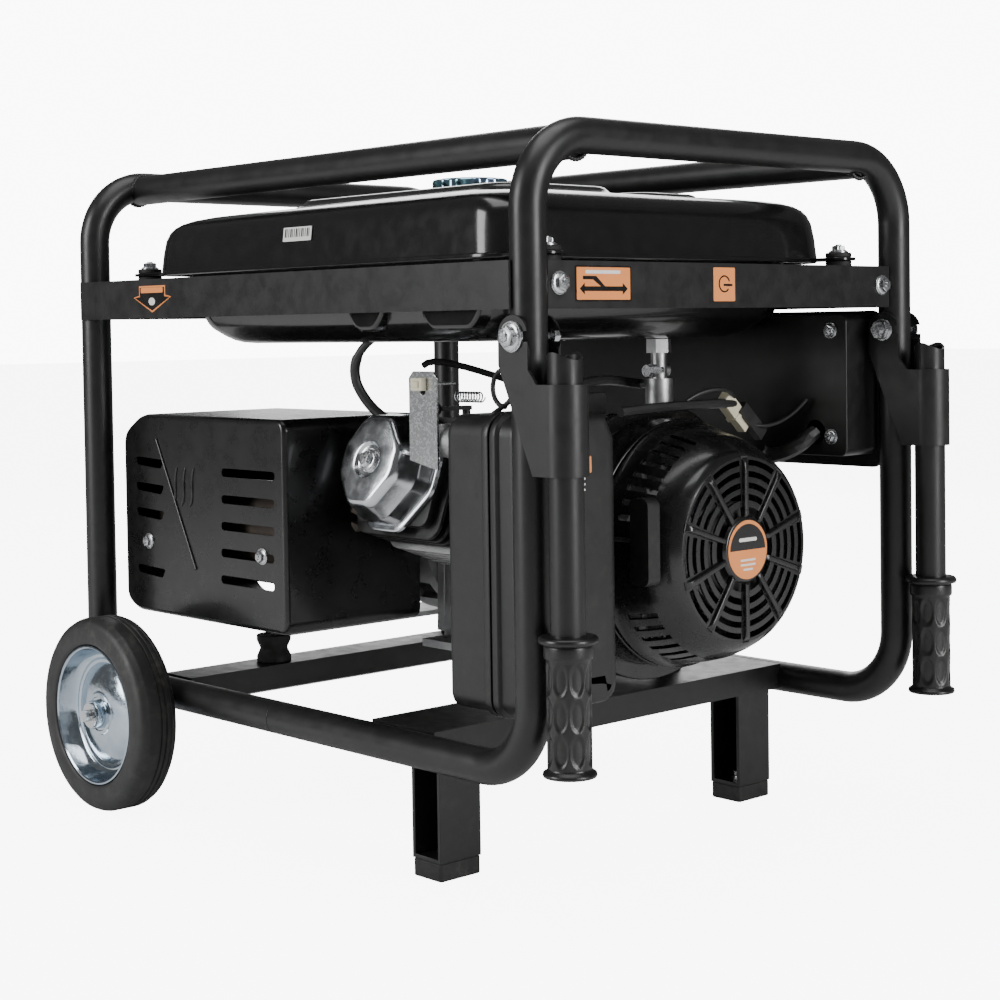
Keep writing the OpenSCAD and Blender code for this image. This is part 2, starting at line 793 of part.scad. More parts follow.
module air_box_base() {
    color("#1e1e20") shift() {
        difference() {
            union() {
                translate([box_x0, 0, 0]) slab_x(box_seam_x - box_x0) air_outline(3);
                translate([box_seam_x - 3, 0, 0]) slab_x(8) air_outline(0);
            }
            translate([box_x0 + 3, 0, 0]) slab_x(70) air_outline(6);
            translate([box_x0 - 1, intake_y, intake_z]) rod_x(14, 6);
        }
        translate([box_x0 - 24.8, intake_y, intake_z]) difference() {
            rod_x(18, 24.8);
            translate([-1, 0, 0]) rod_x(14, 30);
        }
    }
}

module air_box_cover() {
    color("#1a1a1c") shift() difference() {
        union() {
            translate([box_seam_x + 8, 0, 0]) slab_x(8) air_outline(0);
            translate([box_seam_x + 14, 0, 0]) slab_x(box_x1 - box_seam_x - 14) air_outline(4);
        }
        translate([box_seam_x + 7, 0, 0]) slab_x(box_x1 - box_seam_x - 10) air_outline(7);
    }
}

module air_element() {
    color("#c9b26a") shift() translate([box_x0 + 8, 0, 0]) slab_x(50) air_outline(12);
}

module muffler() {
    color("#5f5a55") shift() {
        translate([-310, muffler_y, muffler_z]) rod_x(66, 230);
        translate([-80.5, muffler_y, muffler_z]) rod_x(17, 20);
        swept(curve([-60.5, muffler_y, muffler_z], [-36, muffler_y, muffler_z],
            [-42, -127, 357], [-18, -127, 357], 10), 15, 12);
    }
}

// Slot pattern of the guard's face, in (X, Z)
module guard_slots() {
    for (z = [372, 344, 316, 253]) polygon([[guard_x0 + 26, z], [guard_x0 + 82, z - 2],
        [guard_x0 + 76, z - 12], [guard_x0 + 28, z - 9]]);
    for (i = [0:4]) translate([guard_x1 - 110 - i, 362 - 28 * i]) rounded(0, -5, 94, 4, 3);
}

// Outline of the guard in (X, Z), drawn in by inset
module guard_outline(inset) {
    left = guard_x0 + inset;
    right = guard_x1 - inset;
    low = guard_z0 + inset;
    high = guard_z1 - inset;
    round = 16 - inset;
    polygon(concat(
        corner_points(right - round, high - round, round, 0, 5),
        [[left + 36, high], [left, high - 21], [left, low + 12], [left + 22, low]],
        corner_points(right - round, low + round, round, 270, 5)));
}

module muffler_guard() {
    depth = 175;
    wall = 2;
    color("#111112") shift() difference() {
        translate([0, guard_y, 0]) slab_y(depth) guard_outline(0);
        translate([0, guard_y + wall, 0]) slab_y(depth) guard_outline(wall);
        translate([0, guard_y - 1, 0]) slab_y(wall + 2) guard_slots();
        translate([guard_x1 - 10, muffler_y, 320]) rod_x(44, 20);
        translate([guard_x1 - 10, muffler_y - 10, 320]) cube([20, 100, 60]);
    }
}

// ---- alternator

module end_bells() {
    color("#9b9da0") shift() translate([0, crank_y, crank_z]) {
        difference() {
            translate([-112, 0, 0]) rod_x(alt_r, 69.8);
            translate([-113, 0, 0]) rod_x(alt_r - 8, 63);
            translate([-60, 0, 0]) rod_x(30, 30);
            for (i = [0:7]) rotate([45 * i, 0, 0]) translate([-95, -14, alt_r - 12]) cube([38, 28, 20]);
        }
        difference() {
            translate([-292, 0, 0]) rod_x(alt_r, 50);
            translate([-286, 0, 0]) rod_x(alt_r - 8, 50);
            translate([-293, 0, 0]) rod_x(15 + run, 20);
        }
        translate([rear_member_x - 35, -168, base_z - crank_z]) foot_plate();
    }
}

// Sheet foot under the rear of the alternator
module foot_plate() {
    difference() {
        union() {
            cube([60, 280, 6]);
            translate([0, 112, 6]) cube([6, 112, 30]);
        }
        for (y = rear_mounts_y) translate([35, y - crank_y + 168, -1]) cylinder(r = 4.2, h = 8);
    }
}

module stator() {
    color("#6f7275") shift() translate([-242, crank_y, crank_z]) difference() {
        rod_x(alt_r - 4, 130);
        translate([-1, 0, 0]) rod_x(66, 140);
    }
}

module rotor() {
    color("#8a4f2a") shift() translate([0, crank_y, crank_z]) {
        translate([-235, 0, 0]) rod_x(64, 118);
        translate([-300, 0, 0]) rod_x(15, 66);
        translate([-118, 0, 0]) rod_x(17, 58);
    }
}

module alternator_cover() {
    color("#161617") shift() translate([-326, crank_y, crank_z]) difference() {
        rod_x(alt_r - 6, 34);
        translate([3, 0, 0]) rod_x(alt_r - 9, 40);
        for (i = [-4:4]) translate([-1, -48, 13 * i - 3]) cube([6, 96, 6]);
    }
}

// ---- control panel

module control_box() {
    back_y = 207;
    color("#141416") shift() difference() {
        translate([0, back_y, 0]) slab_y(panel_y - back_y - 4)
            rounded(panel_x0 + 6, 372, panel_x1 - 4, 516, 8);
        translate([0, back_y + 2, 0]) slab_y(panel_y - back_y)
            rounded(panel_x0 + 8, 374, panel_x1 - 6, 514, 7);
        translate([285, back_y - 1, 396]) rod_y(12, 5);
    }
}

module control_panel() {
    color("#1a1a1c") shift() difference() {
        translate([0, panel_y - 4, 0]) slab_y(4) rounded(panel_x0, 358, panel_x1, 520, 10);
        for (x = socket_xs) translate([x, panel_y - 5, socket_z]) rod_y(22, 6);
        translate([meter_x, panel_y - 5, upper_row_z]) rod_y(22, 6);
        translate([key_x, panel_y - 5, upper_row_z]) rod_y(11, 6);
        translate([breaker_x - 13, panel_y - 5, 446]) cube([26, 6, 46]);
    }
}

module panel_sockets() {
    color("#2c4a7a") shift() {
        for (x = socket_xs) translate([x, panel_y - 30, socket_z]) difference() {
            rod_y(21.7, 34);
            translate([0, 18, 0]) rod_y(17, 20);
        }
        translate([meter_x, panel_y - 26, upper_row_z]) rod_y(21.7, 28);
        translate([breaker_x - 12.7, panel_y - 40, 446.3]) difference() {
            cube([25.4, 42, 45.4]);
            translate([6, 34, 12]) cube([13.4, 10, 21.4]);
        }
        translate([key_x, panel_y - 30, upper_row_z]) difference() {
            rod_y(10.7, 32);
            translate([0, 10, 0]) rod_y(6, 30);
        }
        translate([earth_x, panel_y, earth_z]) {
            rotate([-90, 0, 0]) hex(7, 5);
            rod_y(earth_stud_r, 19);
        }
    }
}

module breaker_toggle() {
    color("black") shift() translate([breaker_x, panel_y + 1, upper_row_z - 1]) {
        translate([-5, 0, 0]) rod_x(5, 10);
        rotate([30, 0, 0]) translate([-5, 0, -3]) cube([10, 9, 6]);
    }
}

module key_switch() {
    color("silver") shift() translate([key_x, panel_y - 19.5, upper_row_z]) {
        rod_y(6 - run, 24);
        translate([-1.5, 24, -12]) cube([3, 14, 24]);
    }
}

module wiring() {
    color("#1c1c1c") shift() {
        swept([[240, -34, 425], [241, 10, 427], [241, 60, 428], [240, 110, 428], [238, 134, 427]], 5);
        swept(curve([236, 176, 378], [232, 196, 362], [285, 176, 378], [285, 206.8, 396], 10), 8);
        translate([236, 137, 418]) rotate([-43, 0, 0]) cube([9, 44, 14]);
    }
}

// ---- wheels

module wheel_rim() {
    color("#b8c0c4") translate([0, wheel_y, axle_z]) rotate([-90, 0, 0]) difference() {
        rotate_extrude() polygon([[axle_d / 2 + run, -23], [15, -23], [15, -4], [44, -8], [62, -16],
            [70, -19], [74, -19], [74, 19], [70, 19], [62, 15], [44, 7], [24, 4], [15, 8], [15, 22],
            [axle_d / 2 + run, 22]]);
        for (i = [0:3]) rotate(90 * i) translate([34, 0, -30]) cylinder(r = 5, h = 60);
    }
}

module wheel_tyre() {
    half = tyre_w / 2;
    outer = wheel_d / 2;
    color("#17181a") translate([0, wheel_y, axle_z]) rotate([-90, 0, 0]) rotate_extrude()
        polygon([[74, -19], [80, -half], [92, -half], [outer - 3, -half + 7], [outer, -half + 12],
            [outer, half - 12], [outer - 3, half - 7], [92, half], [80, half], [74, 19]]);
}

module near_rim() {
    shift() translate([-axle_x, 0, 0]) mirror([0, 1, 0]) wheel_rim();
}

module near_tyre() {
    shift() translate([-axle_x, 0, 0]) mirror([0, 1, 0]) wheel_tyre();
}

module far_rim() {
    shift() translate([-axle_x, 0, 0]) wheel_rim();
}

module far_tyre() {
    shift() translate([-axle_x, 0, 0]) wheel_tyre();
}

// ---- lift handles

// Outline of one cheek of a handle bracket, in (X, Z) about the pivot
module cheek() {
    circle(18);
    polygon([[-18, 0], [-18, -24], [22, sleeve_z0], [handle_offset, sleeve_z0],
        [handle_offset, sleeve_z1], [28, sleeve_z1], [18, -28], [18, 0]]);
}

module handle_arm() {
    gap = tube_r + 0.5;
    outer = gap + plate_t;
    tube_top = -12;
    tube_end = -362.9;
    saddle_r = 20;
    color("#232325") translate([post_x, post_y, pivot_z]) difference() {
        union() {
            for (side = [-1, 1]) translate([0, side > 0 ? gap : -outer, 0]) slab_y(plate_t) cheek();
            translate([handle_offset, 0, sleeve_z0]) cylinder(r = outer, h = sleeve_z1 - sleeve_z0);
            translate([handle_offset, 0, tube_end]) cylinder(r = handle_d / 2, h = tube_top - tube_end);
        }
        translate([-60, -gap, sleeve_z0 - 14]) cube([60 + handle_offset - handle_d / 2, 2 * gap, 170]);
        translate([handle_offset, 0, tube_end - 1]) cylinder(r = handle_d / 2 - 2, h = 360);
        translate([0, -30, 0]) rod_y(pivot_d / 2 + run, 60);
        rod_x(saddle_r, 90);
    }
}

module grip() {
    top = -248;
    length = 118;
    inner = handle_d / 2 + 0.02;
    color("#151515") translate([post_x + handle_offset, post_y, pivot_z + top - length]) difference() {
        rotate_extrude() polygon([[0, 0], [22, 0], [23, 3], [19, 6], [18.5, length - 14], [20, length - 8],
            [grip_flange_r, length - 6], [grip_flange_r, length - 2], [20, length], [0, length]]);
        translate([0, 0, 3]) cylinder(r = inner, h = length);
    }
}

module near_handle_arm() {
    shift() mirror([0, 1, 0]) handle_arm();
}

module near_grip() {
    shift() mirror([0, 1, 0]) grip();
}

module far_handle_arm() {
    shift() handle_arm();
}

module far_grip() {
    shift() grip();
}

front_hoop();
rear_hoop();
top_rails();
cross_members();
tank_beams();
leg_channels();
rubber_feet();
axle();
axle_brackets();
pivot_bolts();
frame_fasteners();
rubber_mounts();
tank_upper_shell();
tank_lower_shell();
filler_neck();
petcock_body();
fuel_hose();
cylinder_block();
crankcase_cover();
cylinder_head();
valve_cover();
spark_plug_set();
fan_housing();
recoil_cover();
carburettor();
control_bracket();
air_box_base();
air_box_cover();
air_element();
muffler();
muffler_guard();
stator();
end_bells();
alternator_cover();
control_box();
control_panel();
panel_sockets();
wiring();
piston();
connecting_rod();
crankshaft();
flywheel();
rotor();
recoil_pulley();
pull_handle();
pull_rope();
fuel_cap();
petcock_lever();
choke_lever();
oil_dipstick();
key_switch();
breaker_toggle();
near_rim();
near_tyre();
far_rim();
far_tyre();
near_handle_arm();
near_grip();
far_handle_arm();
far_grip();
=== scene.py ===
"""Looks for an open-frame portable generator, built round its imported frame.

Pieces are drawn in millimetres from the middle of the tube frame, with +X towards the starter,
-Y on the muffler side and the ground at z = 0. finished() turns them into metres in place.
"""

import json
import math

import bmesh
import bpy
from mathutils import Matrix, Vector
from mathutils.geometry import tessellate_polygon


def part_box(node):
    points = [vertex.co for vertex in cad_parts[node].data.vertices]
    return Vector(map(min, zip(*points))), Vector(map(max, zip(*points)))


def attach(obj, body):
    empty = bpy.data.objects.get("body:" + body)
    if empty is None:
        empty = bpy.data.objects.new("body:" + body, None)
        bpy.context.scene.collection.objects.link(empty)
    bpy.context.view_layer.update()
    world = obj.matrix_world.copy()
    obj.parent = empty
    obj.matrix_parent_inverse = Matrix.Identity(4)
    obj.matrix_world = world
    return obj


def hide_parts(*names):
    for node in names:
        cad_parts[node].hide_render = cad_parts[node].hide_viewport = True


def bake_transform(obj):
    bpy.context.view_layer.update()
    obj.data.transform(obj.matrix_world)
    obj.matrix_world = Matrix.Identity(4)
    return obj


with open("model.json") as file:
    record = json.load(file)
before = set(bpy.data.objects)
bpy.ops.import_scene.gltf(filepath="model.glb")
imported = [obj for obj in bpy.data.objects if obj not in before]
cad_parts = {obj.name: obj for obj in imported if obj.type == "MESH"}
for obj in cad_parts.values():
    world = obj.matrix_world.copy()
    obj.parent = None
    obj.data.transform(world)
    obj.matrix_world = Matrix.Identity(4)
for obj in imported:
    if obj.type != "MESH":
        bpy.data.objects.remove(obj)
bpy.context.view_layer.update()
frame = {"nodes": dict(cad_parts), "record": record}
NODES = frame["nodes"]

# ---------------------------------------------------------------- where things are

AXLE_BACK = 268
MIDDLE = (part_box("axle")[0].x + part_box("axle")[1].x) / 2 + AXLE_BACK / 1000


def box_mm(node):
    """Lowest and highest corner of a node, in millimetres from the middle of the tube frame."""
    low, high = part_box(node)
    shift = Vector((MIDDLE, 0, 0))
    return (low - shift) * 1000, (high - shift) * 1000


TUBE_R = 16
POST_X = box_mm("front_hoop")[1].x - TUBE_R
POST_Y = box_mm("front_hoop")[1].y - TUBE_R
RAIL_Z = box_mm("front_hoop")[0].z + TUBE_R
TOP_Z = box_mm("front_hoop")[1].z - TUBE_R
BEND_R = 65
PIVOT_Z = 500
CRANK_Y, CRANK_Z = 53, 291
AXLE_Z = 103
WHEEL_Y = 299
TANK_X, TANK_SEAM = 4.5, 574
TANK_HALF_X, TANK_HALF_Y, TANK_CORNER = 286, 230, 38
FAN_FACE, COVER_H = 240, 80
ROPE_Y, ROPE_Z = -67, 307
PANEL_FACE = 262
AIR_BOX_FACE = 303
EAR_X, EAR_Y = 318, 205

# Light that reaches the machine from the room, the backdrop as seen, and the floor's own glow as seen
ROOM_LIGHT, BACKDROP_LIGHT, FLOOR_GLOW = 0.13, 10.0, 7.5


# ---------------------------------------------------------------- camera, light and floor


def camera():
    """A long lens at low height, looking from the muffler and starter corner."""
    azimuth, elevation, roll = (math.radians(a) for a in (47.74, 2.05, -0.84))
    back = Vector((
        math.sin(azimuth) * math.cos(elevation),
        -math.cos(azimuth) * math.cos(elevation),
        math.sin(elevation),
    ))
    side = (-back).cross(Vector((0, 0, 1))).normalized()
    up = side.cross(-back)
    right = math.cos(roll) * side + math.sin(roll) * up
    above = -math.sin(roll) * side + math.cos(roll) * up
    data = bpy.data.cameras.new("camera")
    data.lens, data.sensor_width = 69.23, 36
    data.shift_x, data.shift_y = 0.007, -0.102
    data.clip_start, data.clip_end = 0.05, 50
    eye = bpy.data.objects.new("camera", data)
    eye.matrix_world = Matrix.Translation((1.50151, -1.36607, 0.5064)) @ Matrix(
        (right, above, back)
    ).transposed().to_4x4()
    bpy.context.scene.collection.objects.link(eye)
    bpy.context.scene.camera = eye


def softbox(name, place, aim, width, height, power):
    """A rectangular studio light."""
    data = bpy.data.lights.new(name, "AREA")
    data.shape, data.size, data.size_y, data.energy = "RECTANGLE", width, height, power
    lamp = bpy.data.objects.new(name, data)
    lamp.location = place
    lamp.rotation_mode = "QUATERNION"
    lamp.rotation_quaternion = (Vector(aim) - Vector(place)).to_track_quat("-Z", "Y")
    bpy.context.scene.collection.objects.link(lamp)


def studio():
    """Soft light from both sides and above, a pale backdrop and a pale floor."""
    softbox("left_softbox", (-1.2, -3.2, 1.5), (0, 0, 0.35), 1.4, 2.2, 95)
    softbox("right_softbox", (3.4, 0.4, 1.3), (0, 0, 0.35), 1.2, 2.2, 95)
    softbox("top_softbox", (0.3, -0.3, 3.2), (0, 0, 0.3), 2.4, 2.4, 60)
    softbox("back_softbox", (-2.6, 2.6, 1.8), (0, 0, 0.4), 2.0, 2.0, 50)
    world = bpy.data.worlds.new("studio")
    bpy.context.scene.world = world
    world.use_nodes = True
    tree = world.node_tree
    seen = tree.nodes.new("ShaderNodeLightPath").outputs["Is Camera Ray"]
    tree.nodes["Background"].inputs["Color"].default_value = (1, 1, 1, 1)
    strength = ranged(tree, seen, 0, 1, ROOM_LIGHT, BACKDROP_LIGHT)
    tree.links.new(strength, tree.nodes["Background"].inputs["Strength"])
    bm = bmesh.new()
    bmesh.ops.create_grid(bm, x_segments=1, y_segments=1, size=30)
    mesh = bpy.data.meshes.new("floor")
    bm.to_mesh(mesh)
    bm.free()
    floor = bpy.data.objects.new("floor", mesh)
    bpy.context.scene.collection.objects.link(floor)
    paint = bpy.data.materials.new("floor_paper")
    paint.use_nodes = True
    shader = paint.node_tree.nodes["Principled BSDF"]
    shader.inputs["Base Color"].default_value = (0.85, 0.85, 0.85, 1)
    shader.inputs["Roughness"].default_value = 0.9
    shader.inputs["Emission Color"].default_value = (1, 1, 1, 1)
    seen = paint.node_tree.nodes.new("ShaderNodeLightPath").outputs["Is Camera Ray"]
    glow = ranged(paint.node_tree, seen, 0, 1, 0, FLOOR_GLOW)
    paint.node_tree.links.new(glow, shader.inputs["Emission Strength"])
    mesh.materials.append(paint)


# ---------------------------------------------------------------- shader groups


def new_group(name, inputs, outputs):
    """An empty shader group with float, colour or vector sockets."""
    kinds = {"f": "NodeSocketFloat", "c": "NodeSocketColor", "v": "NodeSocketVector"}
    group = bpy.data.node_groups.new(name, "ShaderNodeTree")
    for label, kind, value in inputs:
        socket = group.interface.new_socket(label, in_out="INPUT", socket_type=kinds[kind])
        if value is not None:
            socket.default_value = value
    for label, kind in outputs:
        group.interface.new_socket(label, in_out="OUTPUT", socket_type=kinds[kind])
    return group, group.nodes.new("NodeGroupInput"), group.nodes.new("NodeGroupOutput")


def coordinates(tree):
    return tree.nodes.new("ShaderNodeTexCoord").outputs["Object"]


def noise(tree, vector, scale, detail=4.0, rough=0.55):
    """A noise texture. Scale is a number or a socket."""
    node = tree.nodes.new("ShaderNodeTexNoise")
    node.inputs["Detail"].default_value = detail
    node.inputs["Roughness"].default_value = rough
    tree.links.new(vector, node.inputs["Vector"])
    if isinstance(scale, (int, float)):
        node.inputs["Scale"].default_value = scale
    else:
        tree.links.new(scale, node.inputs["Scale"])
    return node.outputs["Fac"]


def ranged(tree, value, from_low, from_high, to_low=0.0, to_high=1.0):
    node = tree.nodes.new("ShaderNodeMapRange")
    tree.links.new(value, node.inputs["Value"])
    for label, number in (("From Min", from_low), ("From Max", from_high),
                          ("To Min", to_low), ("To Max", to_high)):
        node.inputs[label].default_value = number
    return node.outputs["Result"]


def sum_of(tree, kind, a, b):
    """One arithmetic node on sockets or numbers."""
    node = tree.nodes.new("ShaderNodeMath")
    node.operation = kind
    for socket, value in zip(node.inputs, (a, b)):
        if isinstance(value, (int, float)):
            socket.default_value = value
        else:
            tree.links.new(value, socket)
    return node.outputs[0]


def mixed(tree, factor, a, b):
    """Colours a and b mixed by a mask. Each is a socket or four numbers."""
    node = tree.nodes.new("ShaderNodeMix")
    node.data_type = "RGBA"
    tree.links.new(factor, node.inputs["Factor"])
    for label, value in ((6, a), (7, b)):
        if isinstance(value, (tuple, list)):
            node.inputs[label].default_value = value
        else:
            tree.links.new(value, node.inputs[label])
    return node.outputs[2]


def mottle_group():
    """Slow colour and gloss variation over a surface."""
    group, source, sink = new_group(
        "mottle",
        [("Scale", "f", 9.0), ("Base", "c", None), ("Tint", "c", None),
         ("Rough Low", "f", 0.3), ("Rough High", "f", 0.4)],
        [("Color", "c"), ("Roughness", "f")])
    place = coordinates(group)
    slow = noise(group, place, source.outputs["Scale"], 5.0, 0.6)
    mask = ranged(group, slow, 0.38, 0.66)
    colour = mixed(group, mask, source.outputs["Base"], source.outputs["Tint"])
    fine = noise(group, place, sum_of(group, "MULTIPLY", source.outputs["Scale"], 7.0), 3.0)
    node = group.nodes.new("ShaderNodeMapRange")
    group.links.new(fine, node.inputs["Value"])
    node.inputs["From Min"].default_value, node.inputs["From Max"].default_value = 0.35, 0.65
    group.links.new(source.outputs["Rough Low"], node.inputs["To Min"])
    group.links.new(source.outputs["Rough High"], node.inputs["To Max"])
    group.links.new(colour, sink.inputs["Color"])
    group.links.new(node.outputs["Result"], sink.inputs["Roughness"])
    return group


def grain_group():
    """Fine bumps: paint texture, casting skin or moulded plastic."""
    group, source, sink = new_group(
        "grain", [("Scale", "f", 900.0), ("Height", "f", 0.0002), ("Strength", "f", 0.3)],
        [("Normal", "v")])
    place = coordinates(group)
    fine = noise(group, place, source.outputs["Scale"], 2.0, 0.5)
    bump = group.nodes.new("ShaderNodeBump")
    group.links.new(source.outputs["Strength"], bump.inputs["Strength"])
    group.links.new(source.outputs["Height"], bump.inputs["Distance"])
    group.links.new(fine, bump.inputs["Height"])
    group.links.new(bump.outputs["Normal"], sink.inputs["Normal"])
    return group


def dust_group():
    """Sparse specks and a thin bloom of dust as one mask."""
    group, source, sink = new_group(
        "dust", [("Scale", "f", 60.0), ("Amount", "f", 0.5)], [("Mask", "f")])
    place = coordinates(group)
    broad = noise(group, place, 6.0, 4.0, 0.6)
    specks = noise(group, place, source.outputs["Scale"], 6.0, 0.7)
    both = sum_of(group, "MULTIPLY", ranged(group, broad, 0.4, 0.75), ranged(group, specks, 0.5, 0.8))
    out = sum_of(group, "MULTIPLY", both, source.outputs["Amount"])
    group.links.new(out, sink.inputs["Mask"])
    return group


MOTTLE, GRAIN, DUST = mottle_group(), grain_group(), dust_group()


def placed(tree, group, **values):
    """One use of a shader group with its own values."""
    node = tree.nodes.new("ShaderNodeGroup")
    node.node_tree = group
    for label, value in values.items():
        node.inputs[label.replace("_", " ")].default_value = value
    return node


def finish(name, base, tint, rough, metal=0.0, coat=0.0, coat_rough=0.08, mottle=9.0,
           grain=(900.0, 0.00015, 0.25), dust=0.0, dust_colour=(0.35, 0.33, 0.3, 1), specular=0.5):
    """A surface finish: two tones, a roughness range, fine grain and a little dust."""
    material = bpy.data.materials.new(name)
    material.use_nodes = True
    tree = material.node_tree
    shader = tree.nodes["Principled BSDF"]
    tones = placed(tree, MOTTLE, Scale=mottle, Base=(*base, 1), Tint=(*tint, 1),
                   Rough_Low=rough[0], Rough_High=rough[1])
    skin = placed(tree, GRAIN, Scale=grain[0], Height=grain[1], Strength=grain[2])
    colour = tones.outputs["Color"]
    if dust:
        mask = placed(tree, DUST, Amount=dust).outputs["Mask"]
        colour = mixed(tree, mask, colour, dust_colour)
    tree.links.new(colour, shader.inputs["Base Color"])
    tree.links.new(tones.outputs["Roughness"], shader.inputs["Roughness"])
    tree.links.new(skin.outputs["Normal"], shader.inputs["Normal"])
    shader.inputs["Metallic"].default_value = metal
    shader.inputs["Specular IOR Level"].default_value = specular
    shader.inputs["Coat Weight"].default_value = coat
    shader.inputs["Coat Roughness"].default_value = coat_rough
    return material


def grey(value, warm=0.0):
    return (value * (1 + warm), value, value * (1 - warm))


MATERIALS = {
    "satin_black_tube": finish("satin_black_tube", grey(0.006), grey(0.009), (0.34, 0.42),
                               grain=(1400, 0.0001, 0.25), dust=0.04),
    "satin_black_sheet": finish("satin_black_sheet", grey(0.005), grey(0.007), (0.36, 0.46),
                                grain=(1400, 0.0001, 0.25), dust=0.04),
    "black_rubber": finish("black_rubber", grey(0.008), grey(0.011), (0.6, 0.75),
                           grain=(700, 0.0003, 0.4), dust=0.25),
    "zinc_steel": finish("zinc_steel", (0.60, 0.61, 0.62), (0.55, 0.56, 0.58), (0.22, 0.30), metal=1.0,
                         mottle=60, grain=(500, 0.0001, 0.2)),
    "gloss_black_tank": finish("gloss_black_tank", grey(0.004), grey(0.005), (0.20, 0.26), coat=0.4,
                               coat_rough=0.08, grain=(260, 0.0002, 0.05), dust=0.03),
    "chrome_cap": finish("chrome_cap", (0.25, 0.55, 0.62), (0.35, 0.45, 0.7), (0.12, 0.2), metal=1.0,
                         mottle=40, grain=(300, 0.0001, 0.1)),
    "petcock_alloy": finish("petcock_alloy", (0.42, 0.42, 0.43), (0.55, 0.55, 0.55), (0.32, 0.45),
                            metal=1.0, mottle=50, grain=(900, 0.0003, 0.4)),
    "hose_rubber": finish("hose_rubber", grey(0.02), grey(0.03), (0.4, 0.5),
                          grain=(900, 0.0002, 0.3)),
    "cast_alloy": finish("cast_alloy", (0.36, 0.365, 0.37), (0.46, 0.46, 0.465), (0.42, 0.6), metal=0.9,
                         mottle=24, grain=(620, 0.0006, 0.6), dust=0.2),
    "black_casting": finish("black_casting", grey(0.007), grey(0.011), (0.35, 0.5),
                            grain=(620, 0.0005, 0.5), dust=0.2),
    "pressed_zinc_cover": finish("pressed_zinc_cover", (0.64, 0.66, 0.68), (0.52, 0.55, 0.58),
                                 (0.16, 0.26), metal=1.0, mottle=14, grain=(240, 0.0003, 0.12)),
    "ignition_black": finish("ignition_black", grey(0.012), grey(0.016), (0.35, 0.45)),
    "gloss_black_shroud": finish("gloss_black_shroud", grey(0.004), grey(0.006), (0.22, 0.3), coat=0.4,
                                 coat_rough=0.1, dust=0.04),
    "recoil_black": finish("recoil_black", grey(0.005), grey(0.007), (0.22, 0.3), coat=0.4,
                           coat_rough=0.1, grain=(800, 0.0002, 0.15), dust=0.04),
    "air_box_plastic": finish("air_box_plastic", grey(0.009), grey(0.012), (0.36, 0.46),
                              grain=(1100, 0.0003, 0.35), dust=0.06),
    "filter_foam": finish("filter_foam", (0.5, 0.38, 0.12), (0.42, 0.3, 0.1), (0.8, 0.9),
                          grain=(300, 0.002, 0.9)),
    "muffler_steel": finish("muffler_steel", (0.10, 0.09, 0.08), (0.15, 0.12, 0.10), (0.45, 0.6), metal=0.8,
                            mottle=18, grain=(400, 0.0004, 0.4), dust=0.2),
    "gloss_black_guard": finish("gloss_black_guard", grey(0.004), grey(0.006), (0.26, 0.34), coat=0.3,
                                coat_rough=0.12, grain=(900, 0.0002, 0.12), dust=0.04),
    "stator_steel": finish("stator_steel", (0.30, 0.30, 0.31), (0.22, 0.22, 0.23), (0.4, 0.55), metal=0.9,
                           mottle=30, grain=(500, 0.0004, 0.4)),
    "black_cover_plastic": finish("black_cover_plastic", grey(0.007), grey(0.010), (0.38, 0.5),
                                  grain=(1100, 0.0003, 0.4), dust=0.12),
    "box_black": finish("box_black", grey(0.006), grey(0.008), (0.34, 0.44), dust=0.05),
    "panel_black": finish("panel_black", grey(0.007), grey(0.009), (0.36, 0.48),
                          grain=(1100, 0.0003, 0.4), dust=0.1),
    "socket_plastic": finish("socket_plastic", (0.03, 0.09, 0.24), (0.035, 0.1, 0.27), (0.32, 0.42),
                             grain=(1100, 0.0002, 0.3)),
    "cable_black": finish("cable_black", grey(0.015), grey(0.02), (0.4, 0.5), grain=(900, 0.0002, 0.3)),
    "machined_steel": finish("machined_steel", (0.5, 0.51, 0.52), (0.42, 0.43, 0.44), (0.25, 0.38),
                             metal=1.0, mottle=50, grain=(700, 0.0001, 0.2)),
    "rotor_copper": finish("rotor_copper", (0.55, 0.22, 0.09), (0.45, 0.17, 0.07), (0.3, 0.45), metal=0.9,
                           mottle=50, grain=(500, 0.0005, 0.5)),
    "pulley_plastic": finish("pulley_plastic", grey(0.03), grey(0.04), (0.45, 0.55)),
    "rope_cord": finish("rope_cord", grey(0.02), grey(0.035), (0.7, 0.85), grain=(1500, 0.0006, 0.9)),
    "wheel_zinc": finish("wheel_zinc", (0.55, 0.62, 0.68), (0.42, 0.50, 0.58), (0.10, 0.2), metal=1.0,
                         mottle=26, grain=(260, 0.0004, 0.2)),
    "tyre_rubber": finish("tyre_rubber", grey(0.009), grey(0.013), (0.46, 0.58), grain=(600, 0.0003, 0.4),
                          dust=0.2),
    "label_orange": finish("label_orange", (0.86, 0.30, 0.09), (0.80, 0.27, 0.08), (0.3, 0.4),
                           grain=(900, 0.0001, 0.1)),
    "label_white": finish("label_white", (0.8, 0.8, 0.78), (0.74, 0.74, 0.72), (0.35, 0.45),
                          grain=(900, 0.0001, 0.1)),
    "cream_plastic": finish("cream_plastic", (0.72, 0.68, 0.52), (0.66, 0.61, 0.44), (0.36, 0.46),
                            grain=(900, 0.0001, 0.1)),
    "grip_rubber": finish("grip_rubber", grey(0.006), grey(0.009), (0.28, 0.4), grain=(900, 0.0002, 0.3),
                          dust=0.1),
}


# ---------------------------------------------------------------- making pieces


def even_shading(piece):
    """Lets wide flat faces keep their own direction beside rounded edges."""
    modifier = piece.modifiers.new("even_shading", "WEIGHTED_NORMAL")
    modifier.keep_sharp = True


